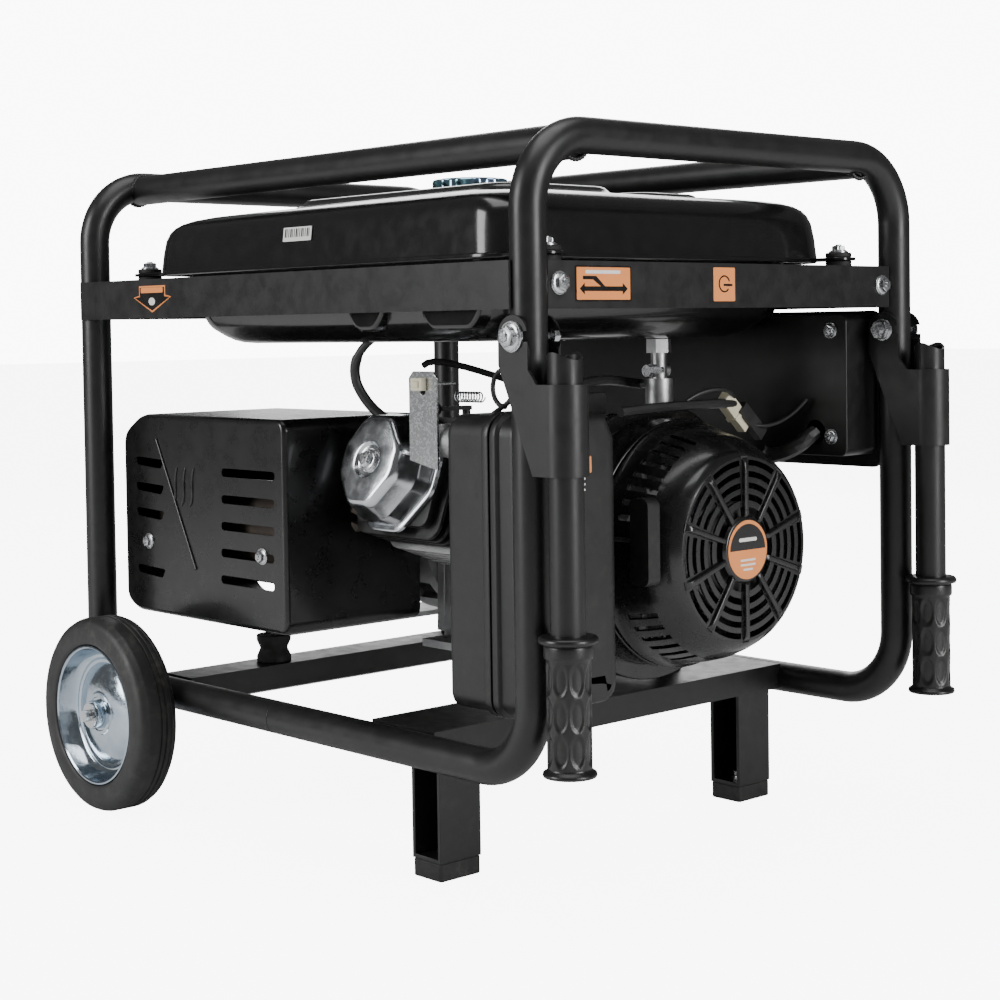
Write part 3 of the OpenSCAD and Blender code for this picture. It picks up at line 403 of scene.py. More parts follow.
def finished(name, bm, body, slot, stands_for=(), bevel=0.0, segments=2, solid=0.0, smooth=35,
             extra=()):
    """Turns a bmesh in millimetres into a piece in place, with its finish, its body and its edges."""
    bmesh.ops.remove_doubles(bm, verts=bm.verts, dist=0.005)
    bm.normal_update()
    mesh = bpy.data.meshes.new(name)
    bm.to_mesh(mesh)
    bm.free()
    mesh.transform(Matrix.Translation((MIDDLE, 0, 0)) @ Matrix.Scale(0.001, 4))
    piece = bpy.data.objects.new(name, mesh)
    bpy.context.scene.collection.objects.link(piece)
    for label in (slot, *extra):
        mesh.materials.append(MATERIALS[label])
    if solid:
        wall = piece.modifiers.new("wall", "SOLIDIFY")
        wall.thickness, wall.offset = solid / 1000, -1
        wall.use_even_offset = True
    if bevel:
        edge = piece.modifiers.new("edges", "BEVEL")
        edge.width, edge.segments, edge.limit_method = bevel / 1000, segments, "ANGLE"
        edge.angle_limit = math.radians(32)
        edge.use_clamp_overlap = True
    shade(mesh, smooth)
    even_shading(piece)
    if body:
        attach(piece, body)
    if stands_for:
        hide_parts(*stands_for)
    return piece


def shade(mesh, smooth):
    """Smooth shading with edges sharper than the given angle kept crisp."""
    mesh.polygons.foreach_set("use_smooth", [True] * len(mesh.polygons))
    mesh.set_sharp_from_angle(angle=math.radians(smooth))


def outward(bm):
    """Joins doubled points and turns every face outwards."""
    bmesh.ops.remove_doubles(bm, verts=bm.verts, dist=0.005)
    bmesh.ops.recalc_face_normals(bm, faces=bm.faces)


def softened(node, body, slot, bevel=0.8, segments=2):
    """A node's own shape with its loose triangles joined, its flats merged and its edges rounded."""
    bm = bmesh.new()
    bm.from_mesh(NODES[node].data)
    bmesh.ops.remove_doubles(bm, verts=bm.verts, dist=0.00001)
    bmesh.ops.dissolve_limit(bm, angle_limit=math.radians(1.0), verts=bm.verts, edges=bm.edges)
    bmesh.ops.transform(bm, matrix=Matrix.Scale(1000, 4) @ Matrix.Translation((-MIDDLE, 0, 0)),
                        verts=bm.verts)
    return finished("finished_" + node, bm, body, slot, (node,), bevel, segments)


def paint_nodes():
    """Every node gets its slot's finish, whether or not a finer piece stands for it."""
    for part in frame["record"]["subparts"]:
        mesh = NODES[part["node"]].data
        mesh.materials.clear()
        mesh.materials.append(MATERIALS[part["material_slot"]])


# ---------------------------------------------------------------- outlines and lofts


def arc(cx, cy, r, start, end, n):
    """Points of an arc in degrees, both ends included."""
    angles = [math.radians(start + (end - start) * i / n) for i in range(n + 1)]
    return [(cx + r * math.cos(a), cy + r * math.sin(a)) for a in angles]


def rounded_box(x0, y0, x1, y1, r, n=6):
    """A rounded rectangle, anticlockwise."""
    return (arc(x1 - r, y1 - r, r, 0, 90, n) + arc(x0 + r, y1 - r, r, 90, 180, n)
            + arc(x0 + r, y0 + r, r, 180, 270, n) + arc(x1 - r, y0 + r, r, 270, 360, n))


def softened_outline(points, r, n=4):
    """A polygon with each corner rounded by r."""
    out = []
    for i, here in enumerate(points):
        before, at, after = Vector(points[i - 1]), Vector(here), Vector(points[(i + 1) % len(points)])
        a, b = (before - at), (after - at)
        reach = min(r, a.length * 0.45, b.length * 0.45)
        start, end = at + a.normalized() * reach, at + b.normalized() * reach
        for k in range(n + 1):
            t = k / n
            out.append(tuple((1 - t) ** 2 * start + 2 * t * (1 - t) * at + t * t * end))
    return out


def drawn_in(points, d):
    """An anticlockwise outline moved inwards by d."""
    out = []
    for i, here in enumerate(points):
        before, at, after = Vector(points[i - 1]), Vector(here), Vector(points[(i + 1) % len(points)])
        e1, e2 = (at - before).normalized(), (after - at).normalized()
        n1, n2 = Vector((-e1.y, e1.x)), Vector((-e2.y, e2.x))
        out.append(tuple(at + (n1 + n2) * (d / max(1 + n1.dot(n2), 0.4))))
    return out


def raised(outline, axis, level):
    """A flat outline placed across an axis: (y, z) along x, (x, z) along y, (x, y) along z."""
    if axis == "x":
        return [Vector((level, u, v)) for u, v in outline]
    if axis == "y":
        return [Vector((u, level, v)) for u, v in outline]
    return [Vector((u, v, level)) for u, v in outline]


def loft(bm, rings, caps=(True, True), round_again=False, material=0):
    """Joins rings of equal length with quads, and closes the ends."""
    rows = [[bm.verts.new(p) for p in ring] for ring in rings]
    count = len(rows[0])
    pairs = list(zip(rows, rows[1:])) + ([(rows[-1], rows[0])] if round_again else [])
    for low, high in pairs:
        for i in range(count):
            j = (i + 1) % count
            bm.faces.new((low[i], low[j], high[j], high[i])).material_index = material
    if caps[0]:
        bm.faces.new(rows[0][::-1]).material_index = material
    if caps[1]:
        bm.faces.new(rows[-1]).material_index = material
    return rows


def lathe(bm, profile, centre, axis, sides=64, closed=False, material=0):
    """Turns (radius, distance) pairs about an axis through the centre. Closed joins last to first."""
    centre = Vector(centre)
    u, v, w = {"x": ((0, 1, 0), (0, 0, 1), (1, 0, 0)), "y": ((0, 0, 1), (1, 0, 0), (0, 1, 0)),
               "z": ((1, 0, 0), (0, 1, 0), (0, 0, 1))}[axis]
    u, v, w = Vector(u), Vector(v), Vector(w)
    rings = []
    for r, h in profile:
        turns = [2 * math.pi * k / sides for k in range(sides)]
        rings.append([centre + w * h + (u * math.cos(a) + v * math.sin(a)) * max(r, 0.02) for a in turns])
    loft(bm, rings, caps=(not closed, not closed), round_again=closed, material=material)


def along(points, r, n=8):
    """A path whose inner corners are rounded by r."""
    points = [Vector(p) for p in points]
    out = [points[0]]
    for before, at, after in zip(points, points[1:], points[2:]):
        a, b = (before - at).normalized(), (after - at).normalized()
        angle = math.pi - a.angle(b)
        reach = r * math.tan(angle / 2)
        centre = at + (a + b).normalized() * (r / math.cos(angle / 2))
        start, end = at + a * reach, at + b * reach
        for k in range(n + 1):
            t = k / n
            spread = math.sin(angle)
            w1, w2 = math.sin((1 - t) * angle) / spread, math.sin(t * angle) / spread
            out.append(centre + (start - centre) * w1 + (end - centre) * w2)
    return out + [points[-1]]


def bezier(a, b, c, d, n):
    a, b, c, d = (Vector(p) for p in (a, b, c, d))
    out = []
    for i in range(n + 1):
        t = i / n
        out.append((1 - t) ** 3 * a + 3 * t * (1 - t) ** 2 * b + 3 * t * t * (1 - t) * c + t ** 3 * d)
    return out


def tube(bm, path, r, sides=24, material=0, caps=(True, True)):
    """A round section carried along a path without twisting. r is one radius or one for each point."""
    path = [Vector(p) for p in path]
    radii = [r] * len(path) if isinstance(r, (int, float)) else r
    tangents = []
    for i in range(len(path)):
        tangents.append((path[min(i + 1, len(path) - 1)] - path[max(i - 1, 0)]).normalized())
    across = tangents[0].orthogonal().normalized()
    rings = []
    for i, (at, way, radius) in enumerate(zip(path, tangents, radii)):
        if i:
            across = (tangents[i - 1].rotation_difference(way) @ across).normalized()
        across = (across - way * across.dot(way)).normalized()
        other = way.cross(across)
        rings.append([at + radius * (across * math.cos(a) + other * math.sin(a))
                      for a in (2 * math.pi * k / sides for k in range(sides))])
    loft(bm, rings, caps=caps, material=material)


def plate(bm, outline, holes, axis, level, thickness, material=0):
    """A flat sheet with holes, of a thickness along +axis."""
    loops = [outline] + list(holes)
    flat = [Vector((u, v, 0)) for loop in loops for u, v in loop]
    triangles = tessellate_polygon([[Vector((u, v, 0)) for u, v in loop] for loop in loops])
    near = [bm.verts.new(p) for p in raised([(p.x, p.y) for p in flat], axis, level)]
    far = [bm.verts.new(p) for p in raised([(p.x, p.y) for p in flat], axis, level + thickness)]
    for tri in triangles:
        bm.faces.new([near[i] for i in tri]).material_index = material
        bm.faces.new([far[i] for i in reversed(tri)]).material_index = material
    start = 0
    for loop in loops:
        for i in range(len(loop)):
            a, b = start + i, start + (i + 1) % len(loop)
            bm.faces.new((near[a], near[b], far[b], far[a])).material_index = material
        start += len(loop)
    bmesh.ops.recalc_face_normals(bm, faces=bm.faces)


def block(bm, low, high, material=0):
    loft(bm, [raised([(low[0], low[1]), (high[0], low[1]), (high[0], high[1]), (low[0], high[1])], "z", z)
              for z in (low[2], high[2])], material=material)


def turned(bm, start, matrix):
    """Moves every vertex made since start by a matrix."""
    bm.verts.ensure_lookup_table()
    bmesh.ops.transform(bm, matrix=matrix, verts=bm.verts[start:])


# ---------------------------------------------------------------- repeated pieces


def copies_tree(name):
    """Stands a template on every point, facing along its "aim" and scaled by its "size"."""
    tree = bpy.data.node_groups.new(name, "GeometryNodeTree")
    sockets = {}
    for label, kind in (("Places", "NodeSocketGeometry"), ("Template", "NodeSocketObject"),
                        ("Overall Size", "NodeSocketFloat"), ("Finish", "NodeSocketMaterial")):
        sockets[label] = tree.interface.new_socket(label, in_out="INPUT", socket_type=kind).identifier
    tree.interface.new_socket("Copies", in_out="OUTPUT", socket_type="NodeSocketGeometry")
    source, sink = tree.nodes.new("NodeGroupInput"), tree.nodes.new("NodeGroupOutput")
    info = tree.nodes.new("GeometryNodeObjectInfo")
    stand = tree.nodes.new("GeometryNodeInstanceOnPoints")
    real = tree.nodes.new("GeometryNodeRealizeInstances")
    paint = tree.nodes.new("GeometryNodeSetMaterial")
    link = tree.links.new
    link(source.outputs["Template"], info.inputs["Object"])
    link(source.outputs["Places"], stand.inputs["Points"])
    link(info.outputs["Geometry"], stand.inputs["Instance"])
    aim = tree.nodes.new("GeometryNodeInputNamedAttribute")
    aim.data_type = "FLOAT_VECTOR"
    aim.inputs["Name"].default_value = "aim"
    link(aim.outputs["Attribute"], stand.inputs["Rotation"])
    size = tree.nodes.new("GeometryNodeInputNamedAttribute")
    size.data_type = "FLOAT"
    size.inputs["Name"].default_value = "size"
    scaled = tree.nodes.new("ShaderNodeMath")
    scaled.operation = "MULTIPLY"
    link(size.outputs["Attribute"], scaled.inputs[0])
    link(source.outputs["Overall Size"], scaled.inputs[1])
    link(scaled.outputs[0], stand.inputs["Scale"])
    link(stand.outputs["Instances"], real.inputs["Geometry"])
    link(real.outputs["Geometry"], paint.inputs["Geometry"])
    link(source.outputs["Finish"], paint.inputs["Material"])
    link(paint.outputs["Geometry"], sink.inputs["Copies"])
    return tree, sockets


COPIES, COPIES_SOCKETS = copies_tree("copies_on_points")


def template(name, bm):
    """A hidden object that the copies are made from, in millimetres."""
    outward(bm)
    mesh = bpy.data.meshes.new(name)
    bm.to_mesh(mesh)
    bm.free()
    return bpy.data.objects.new(name, mesh)


def copied(name, pattern, spots, body, slot, stands_for=(), bevel=0.0, smooth=35):
    """Copies a pattern to spots, each a place, a direction for its +Z, a turn about it and a size."""
    cloud = bpy.data.meshes.new(name + "_spots")
    cloud.from_pydata([spot[0] for spot in spots], [], [])
    cloud.attributes.new("aim", "FLOAT_VECTOR", "POINT")
    cloud.attributes.new("size", "FLOAT", "POINT")
    aims, sizes = cloud.attributes["aim"], cloud.attributes["size"]
    for i, (_, way, turn, size) in enumerate(spots):
        rotation = Vector(way).to_track_quat("Z", "Y").to_matrix() @ Matrix.Rotation(turn, 3, "Z")
        aims.data[i].vector = rotation.to_euler()
        sizes.data[i].value = size
    holder = bpy.data.objects.new(name + "_holder", cloud)
    bpy.context.scene.collection.objects.link(holder)
    bpy.context.scene.collection.objects.link(pattern)
    modifier = holder.modifiers.new("copies", "NODES")
    modifier.node_group = COPIES
    modifier[COPIES_SOCKETS["Template"]] = pattern
    modifier[COPIES_SOCKETS["Overall Size"]] = 1.0
    modifier[COPIES_SOCKETS["Finish"]] = MATERIALS[slot]
    graph = bpy.context.evaluated_depsgraph_get()
    mesh = bpy.data.meshes.new_from_object(holder.evaluated_get(graph))
    bm = bmesh.new()
    bm.from_mesh(mesh)
    for face in bm.faces:
        face.material_index = 0
    bpy.data.objects.remove(holder)
    bpy.data.objects.remove(pattern)
    bpy.data.meshes.remove(mesh)
    return finished(name, bm, body, slot, stands_for, bevel, smooth=smooth)


def bolt_head():
    """A flanged hexagon head of 14 mm across corners, with a domed top and a plain washer under it."""
    bm = bmesh.new()
    lathe(bm, [(10.2, 0), (10.2, 1.3), (9.8, 1.6), (3, 1.6)], (0, 0, 0), "z", 32)
    lathe(bm, [(8.8, 1.5), (8.8, 2.2), (7.4, 3.0), (3, 3.0)], (0, 0, 0), "z", 32)
    hexagon = arc(0, 0, 7.0, 0, 300, 5)
    rings = [raised(hexagon, "z", 2.4), raised(hexagon, "z", 6.6), raised(drawn_in(hexagon, 0.8), "z", 7.4),
             raised(drawn_in(hexagon, 2.4), "z", 7.6), raised(drawn_in(hexagon, 3.0), "z", 7.0)]
    loft(bm, rings)
    lathe(bm, [(3.3, 6.8), (3.3, 8.2), (2.8, 8.8)], (0, 0, 0), "z", 20)
    return template("bolt_head", bm)


# ---------------------------------------------------------------- frame


def hoop(side, name):
    """One bent tube: up the near post, over the top and down the far post, open at the rail joint."""
    joint = -18.0
    x = side * POST_X
    corners = [(joint, -POST_Y, RAIL_Z), (x, -POST_Y, RAIL_Z), (x, -POST_Y, TOP_Z),
               (x, POST_Y, TOP_Z), (x, POST_Y, RAIL_Z), (joint, POST_Y, RAIL_Z)]
    path = along(corners, BEND_R, 16)
    lip = Vector((side * 0.8, 0, 0))
    path = [path[0], path[0] + lip] + path[1:-1] + [path[-1] + lip, path[-1]]
    radii = [TUBE_R - 0.9] + [TUBE_R] * (len(path) - 2) + [TUBE_R - 0.9]
    bm = bmesh.new()
    tube(bm, path, radii, 40)
    outward(bm)
    finished(name + "_tube", bm, "frame", "satin_black_tube", (name,), smooth=50)


RAIL_INSET, RAIL_DROP = 57, 5


def top_rails():
    """The two top rails and the rippled welds where they meet the hoops."""
    bm = bmesh.new()
    for side in (-1, 1):
        y, z = side * (POST_Y - RAIL_INSET), TOP_Z - RAIL_DROP
        tube(bm, [(-POST_X + 4, y, z), (0, y, z), (POST_X - 4, y, z)], TUBE_R, 40)
        for end in (-1, 1):
            path = []
            for k in range(91):
                angle = math.radians(4 * k)
                drop = TUBE_R * math.sin(angle) - RAIL_DROP
                back = math.sqrt(max(TUBE_R ** 2 - drop ** 2, 0.0))
                path.append((end * (POST_X - back), y + TUBE_R * math.cos(angle),
                             z + TUBE_R * math.sin(angle)))
            tube(bm, path, [2.1 + 0.5 * math.sin(k * 2.1) for k in range(91)], 8, caps=(False, False))
    outward(bm)
    finished("top_rail_tubes", bm, "frame", "satin_black_tube", ("top_rails",), smooth=50)


def tank_beams():
    """The channel that carries the tank, with rounder edges than the other sheet parts."""
    softened("tank_beams", "frame", "satin_black_sheet", 1.2, 3)


def fasteners():
    """Every frame bolt head, and the bolt ends and nuts that show."""
    spots = []
    bolt_z = box_mm("tank_beams")[0].z + 22
    for end in (-1, 1):
        for side in (-1, 1):
            spots.append(((end * (POST_X + 6), side * 226, bolt_z), (end, 0, 0), 0.4 * side, 1.0))
            spots.append(((end * EAR_X, side * EAR_Y, 578.5), (0, 0, 1), 0.3 * end, 0.95))
    for y in (-120, 150):
        spots.append(((-215, y, 178), (0, 0, 1), 0.2, 1.0))
    for y in (-32, 138):
        spots.append(((135, y, 180), (0, 0, 1), 0.5, 1.0))
    for side in (-1, 1):
        spots.append(((178, side * 209, 21), (0, 0, 1), 0.2, 0.9))
    copied("frame_bolt_heads", bolt_head(), spots, "frame", "zinc_steel", smooth=30)
    pins = []
    for side in (-1, 1):
        pins.append(((POST_X, side * (POST_Y + 19.7), PIVOT_Z), (0, side, 0), 0.3, 1.3))
        pins.append(((POST_X, side * (POST_Y - 19.7), PIVOT_Z), (0, -side, 0), 0.3, 1.1))
    copied("pivot_bolt_heads", bolt_head(), pins, "frame", "zinc_steel", smooth=30)


# ---------------------------------------------------------------- tank


def tank_ring(inset, z):
    """One level of the upper pressing. It stands lower towards the rear and a little towards the front."""
    half_x, half_y = TANK_HALF_X - inset, TANK_HALF_Y - inset
    corner = min(TANK_CORNER + inset * 0.3, half_y - 2)
    ring = rounded_box(TANK_X - half_x, -half_y, TANK_X + half_x, half_y, corner, 10)
    points = []
    for x, y in ring:
        along_x = (x - TANK_X) / TANK_HALF_X
        fall = (0.13 if along_x < 0 else 0.05) * along_x ** 2 + 0.03 * (y / TANK_HALF_Y) ** 4
        points.append(Vector((x, y, TANK_SEAM + (z - TANK_SEAM) * (1 - fall))))
    return points


def tank_upper():
    """Near upright sides, tight shoulders, a crowned top and the raised pad round the filler."""
    rows = [(1.5, 573.2), (0, 574), (0.3, 578), (1.6, 596), (3.6, 612), (6.5, 621), (10, 626.5), (15, 630.6),
            (22, 633.4), (34, 635.6), (60, 637.6), (95, 639.4), (130, 640.8), (175, 641.6), (215, 641.8)]
    bm = bmesh.new()
    loft(bm, [tank_ring(inset, z) for inset, z in rows], caps=(False, True))
    outward(bm)
    finished("tank_top_pressing", bm, "frame", "gloss_black_tank", ("tank_upper_shell",), smooth=60)
    bm = bmesh.new()
    for x0, y0, x1, y1, lift in ((-120, -150, 205, 2, 0), (-150, 48, 190, 150, -1.5)):
        pad = rounded_box(x0, y0, x1, y1, 30, 8)
        rows = [(-12, 636), (-6, 638), (-2.5, 641), (0, 643.2), (3, 644.2), (14, 644.6), (60, 644.8)]
        loft(bm, [raised(drawn_in(pad, inset), "z", z + lift) for inset, z in rows], caps=(False, True))
    outward(bm)
    finished("tank_top_pads", bm, "frame", "gloss_black_tank", smooth=60)


def tank_rim():
    """The welded flange round the tank, with its four bolt ears."""
    bm = bmesh.new()
    outer = rounded_box(TANK_X - 288, -232, TANK_X + 288, 232, 45, 10)
    rows = [(12, 569.2), (1.2, 569.2), (0, 570.2), (0, 573.2), (1.2, 574.2), (12, 574.2)]
    loft(bm, [raised(drawn_in(outer, inset), "z", z) for inset, z in rows],
         caps=(False, False), round_again=True)
    for sx in (-1, 1):
        for sy in (-1, 1):
            ear = rounded_box(sx * 298 - 36, sy * EAR_Y - 15, sx * 298 + 36, sy * EAR_Y + 15, 12, 5)
            hole = arc(sx * EAR_X, sy * EAR_Y, 4.2, 0, 345, 23)
            plate(bm, ear, [hole], "z", 570.5, 3)
    outward(bm)
    finished("tank_flange", bm, "frame", "gloss_black_tank", bevel=0.5, smooth=40)


def tank_lower():
    """The lower pressing: sloped sides, a rolled edge at its floor and two stiffening steps."""
    rows = [(0, 571), (1, 562), (4, 548), (8, 534), (12, 522), (15, 516), (19, 511), (30, 503), (38, 498.5),
            (46, 496), (56, 495), (64, 495), (67, 497), (74, 497.6), (120, 497.8)]
    bm = bmesh.new()
    rings = []
    for inset, z in rows:
        half_x, half_y = 260 - inset, 210 - inset * 0.75
        ring = rounded_box(TANK_X - half_x, -half_y, TANK_X + half_x, half_y, 40, 10)
        rings.append(raised(ring, "z", z))
    loft(bm, rings, caps=(False, True))
    outward(bm)
    finished("tank_bottom_pressing", bm, "frame", "gloss_black_tank", ("tank_lower_shell",), smooth=60)
    bm = bmesh.new()
    for side in (-1, 1):
        for x0, x1 in ((40, 96), (150, 236)):
            foot = [(x0, 522), (x0 + 14, 506), (x1 - 14, 506), (x1, 522), (x1 - 4, 560), (x0 + 4, 560)]
            outline = softened_outline(foot, 8)
            loft(bm, [raised(drawn_in(outline, d), "y", side * y)
                      for d, y in ((0, 192), (0, 205), (1.5, 207.5), (5, 208.6))], caps=(False, True))
    outward(bm)
    finished("tank_stiffening_steps", bm, "frame", "gloss_black_tank", smooth=50)


def fuel_cap():
    """A scalloped cap with a stepped crown."""
    low, high = box_mm("fuel_cap")
    cx, cy = (low.x + high.x) / 2, (low.y + high.y) / 2
    bm = bmesh.new()

    def lobed(r, z, depth):
        points = []
        for k in range(144):
            a = 2 * math.pi * k / 144
            reach = r - depth * (0.5 - 0.5 * math.cos(12 * a))
            points.append(Vector((cx + reach * math.cos(a), cy + reach * math.sin(a), z)))
        return points

    base = low.z
    rows = [(36, 0, 0), (38.5, 0.4, 1), (39.4, 1.6, 3), (39.6, 8.6, 3.4), (38.6, 10.6, 3.2), (36, 11.7, 2),
            (32, 12, 0), (29, 11.6, 0), (27, 10.2, 0), (14, 10.0, 0), (12.6, 11.2, 0), (11, 11.6, 0),
            (2, 11.7, 0)]
    loft(bm, [lobed(r, base + z, depth) for r, z, depth in rows])
    outward(bm)
    finished("fuel_cap_crown", bm, "fuel_cap", "chrome_cap", ("fuel_cap",), smooth=40)


# ---------------------------------------------------------------- recoil starter


def recoil_cover():
    """Drum and grille in one pressing, with its slots and arc vents open."""
    cells = 240
    profile = [(118, 0), (122.4, 1.5), (122.6, 4), (119, 8), (117.2, 17), (116.6, 19), (113.6, 34),
               (109.4, 49), (108.6, 51), (104, 61), (99, 70), (96, 74.5), (92.5, 78)]
    profile += [(r, COVER_H) for r in (89.5, 86.5, 81, 75.5, 70, 64.5, 59, 53.5, 47.5, 41, 33)]
    profile += [(31, 82.5), (29.5, 83.4), (14, 83.4), (0.5, 83.4)]
    slot_rows, vent_rows = (5, 6, 7), (14, 16, 18, 20, 22)
    top_slots = [k for i in range(8) for k in (72 + 5 * i, 73 + 5 * i)]
    low_slots = [k for i in range(6) for k in (140 + 5 * i, 141 + 5 * i)]
    bm = bmesh.new()
    rows = []
    for r, h in profile:
        row = []
        for k in range(cells):
            a = 2 * math.pi * k / cells
            row.append(bm.verts.new((FAN_FACE + h, CRANK_Y + r * math.cos(a), CRANK_Z + r * math.sin(a))))
        rows.append(row)
    for i in range(len(profile) - 1):
        for k in range(cells):
            if i in slot_rows and k in top_slots + low_slots:
                continue
            if i in vent_rows and 3 <= (k - 60) % 24 <= 20:
                continue
            j = (k + 1) % cells
            bm.faces.new((rows[i][k], rows[i][j], rows[i + 1][j], rows[i + 1][k]))
    bm.faces.new(rows[-1])
    bmesh.ops.recalc_face_normals(bm, faces=bm.faces)
    finished("recoil_pressing", bm, "frame", "recoil_black", ("recoil_cover",), bevel=0.7, solid=2.6,
             smooth=40)


def starter_rope():
    """The rope between the cover and the handle, drawn as a straight fixed cord."""
    start, end = Vector((FAN_FACE + 16, ROPE_Y, ROPE_Z)), Vector((292, ROPE_Y, ROPE_Z))
    bm = bmesh.new()
    tube(bm, [start.lerp(end, k / 40) for k in range(41)], 2.2, 12)
    outward(bm)
    rope = finished("starter_rope", bm, None, "rope_cord", smooth=60)
    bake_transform(rope)


def rib_pattern():
    """One rib of the grille, drawn along +Y with its face towards +Z."""
    bm = bmesh.new()
    section = [(-3.6, -1), (3.6, -1), (2.6, 3.4), (1.8, 4.0), (-1.8, 4.0), (-2.6, 3.4)]
    rings = []
    for y, wide, tall in ((31, 0.8, 0.55), (34, 1, 0.95), (78, 1, 1), (84, 1.05, 0.85), (88, 1.3, 0.2),
                          (90.5, 1.3, -0.7)):
        rings.append([Vector((u * wide, y, v * tall)) for u, v in section])
    loft(bm, rings)
    return template("rib_pattern", bm)


def recoil_ribs():
    """Ten raised ribs from the badge to the rim."""
    spots = []
    for i in range(10):
        turn = math.radians(36 * i)
        spots.append(((FAN_FACE + COVER_H, CRANK_Y, CRANK_Z), (1, 0, 0), turn, 1.0))
    copied("recoil_ribs", rib_pattern(), spots, "frame", "recoil_black", bevel=0.5, smooth=35)


def recoil_badge():
    """A plain two-tone badge with a ring, in place of lettering."""
    face = FAN_FACE + 83.5
    bm = bmesh.new()
    disc = arc(CRANK_Y, CRANK_Z, 28.5, 0, 352.5, 47)
    loft(bm, [raised(disc, "x", face - 0.2), raised(disc, "x", face + 0.3)])
    top = arc(CRANK_Y, CRANK_Z - 1, 25.8, 2, 178, 30)
    loft(bm, [raised(top, "x", face + 0.2), raised(top, "x", face + 0.5)], material=1)
    for wide, z in ((11, -10), (11, -14.5), (7, -19)):
        bar = rounded_box(CRANK_Y - wide, CRANK_Z + z - 1, CRANK_Y + wide, CRANK_Z + z + 1, 0.9, 3)
        loft(bm, [raised(bar, "x", face + 0.25), raised(bar, "x", face + 0.5)], material=2)
    bar = rounded_box(CRANK_Y - 13, CRANK_Z + 8, CRANK_Y + 13, CRANK_Z + 11.5, 1.6, 3)
    loft(bm, [raised(bar, "x", face + 0.4), raised(bar, "x", face + 0.65)], material=2)
    outward(bm)
    finished("recoil_badge", bm, "frame", "label_orange", extra=("recoil_black", "label_white"))


# ---------------------------------------------------------------- air box, guard, valve cover


def air_outline():
    """The air box seen along the crankshaft, as (y, z)."""
    y0, y1, z0, z1 = -232, -100, 160, 433
    return ([(y1, z1 - 26), (y1 - 13, z1)] + arc(y0 + 22, z1 - 22, 22, 90, 180, 8)
            + arc(y0 + 18, z0 + 18, 18, 180, 270, 8) + arc(y1 - 22, z0 + 22, 22, 270, 360, 8))


def air_box():
    """Two moulded halves with rolled seam beads between them."""
    outline = air_outline()
    base = [(209, 9), (209.6, 5), (212, 3.2), (216, 3), (257, 3), (258.6, 2.2), (259.4, 0.4), (261, 0),
            (265.5, 0), (267, 0.8), (267.2, 5)]
    cover = [(269.4, 5), (269.6, 0.8), (271, 0), (276, 0), (277.6, 0.6), (278.6, 3.2), (280, 4), (292, 4),
             (297, 4.8), (300.4, 7), (302.4, 10.5), (303, 15), (303, 30)]
    for name, rows in (("air_box_base", base), ("air_box_cover", cover)):
        bm = bmesh.new()
        loft(bm, [raised(drawn_in(outline, inset), "x", x) for x, inset in rows])
        if name == "air_box_base":
            lathe(bm, [(14, -24), (14, 2), (18, 2), (18, -21), (19.5, -21.5), (19.5, -24.6), (18, -24.8)],
                  (209, -152, 398), "x", 40, closed=True)
        outward(bm)
        finished(name + "_moulding", bm, "frame", "air_box_plastic", (name,), smooth=50)


def muffler_guard():
    """The heat guard: a face with louvre slots, a folded edge and side walls."""
    x0, x1, z0, z1, y_face, y_back = -338, -36, 201, 419, -232, -57
    corners = [(x1, z1), (x0 + 36, z1), (x0, z1 - 21), (x0, z0 + 12), (x0 + 22, z0), (x1, z0)]
    outline = softened_outline(corners, 14, 6)
    bm = bmesh.new()
    rows = [(0, y_back), (0, -170), (0, y_face + 6), (0.8, y_face + 3), (2.6, y_face + 0.9), (5, y_face)]
    loft(bm, [raised(drawn_in(outline, inset), "y", y) for inset, y in rows], caps=(False, False))
    inner = drawn_in(outline, 5)
    holes = []
    for z in (372, 344, 316, 253):
        louvre = [(x0 + 26, z), (x0 + 28, z - 9), (x0 + 76, z - 12), (x0 + 82, z - 2)]
        holes.append(softened_outline(louvre, 4, 3))
    for i in range(5):
        holes.append(rounded_box(x1 - 110 - i, 357 - 28 * i, x1 - 16 - i, 366 - 28 * i, 4.3, 4))
    flat = [Vector((u, v, 0)) for loop in [inner] + holes for u, v in loop]
    verts = [bm.verts.new((p.x, y_face, p.y)) for p in flat]
    for tri in tessellate_polygon([[Vector((u, v, 0)) for u, v in loop] for loop in [inner] + holes]):
        bm.faces.new([verts[i] for i in tri])
    outward(bm)
    finished("guard_pressing", bm, "frame", "gloss_black_guard", ("muffler_guard",), bevel=0.5,
             solid=2.0, smooth=40)
    bm = bmesh.new()
    tube(bm, [(-269, y_face - 0.3, 392), (-232, y_face - 0.3, 323), (-196, y_face - 0.3, 256)], 1.7, 10)
    for x in (-232, -216, -200):
        ridge = bezier((x - 6, y_face - 0.2, 322), (x + 4, y_face - 0.2, 335), (x - 6, y_face - 0.2, 349),
                       (x + 3, y_face - 0.2, 364), 14)
        tube(bm, ridge, [0.4] + [1.5] * 13 + [0.4], 8)
    outward(bm)
    finished("guard_pressed_marks", bm, "frame", "gloss_black_guard", smooth=60)
    spots = [((-287, y_face, 280), (0, -1, 0), 0.2, 0.85), ((-75, y_face, 279), (0, -1, 0), 0.5, 0.85)]
    copied("guard_screws", bolt_head(), spots, "frame", "zinc_steel", smooth=30)


def from_cylinder():
    """The cylinder's own frame: +Z out along its axis, +X along the crankshaft."""
    return Matrix.Translation((50, CRANK_Y, CRANK_Z)) @ Matrix.Rotation(math.radians(70), 4, "X")


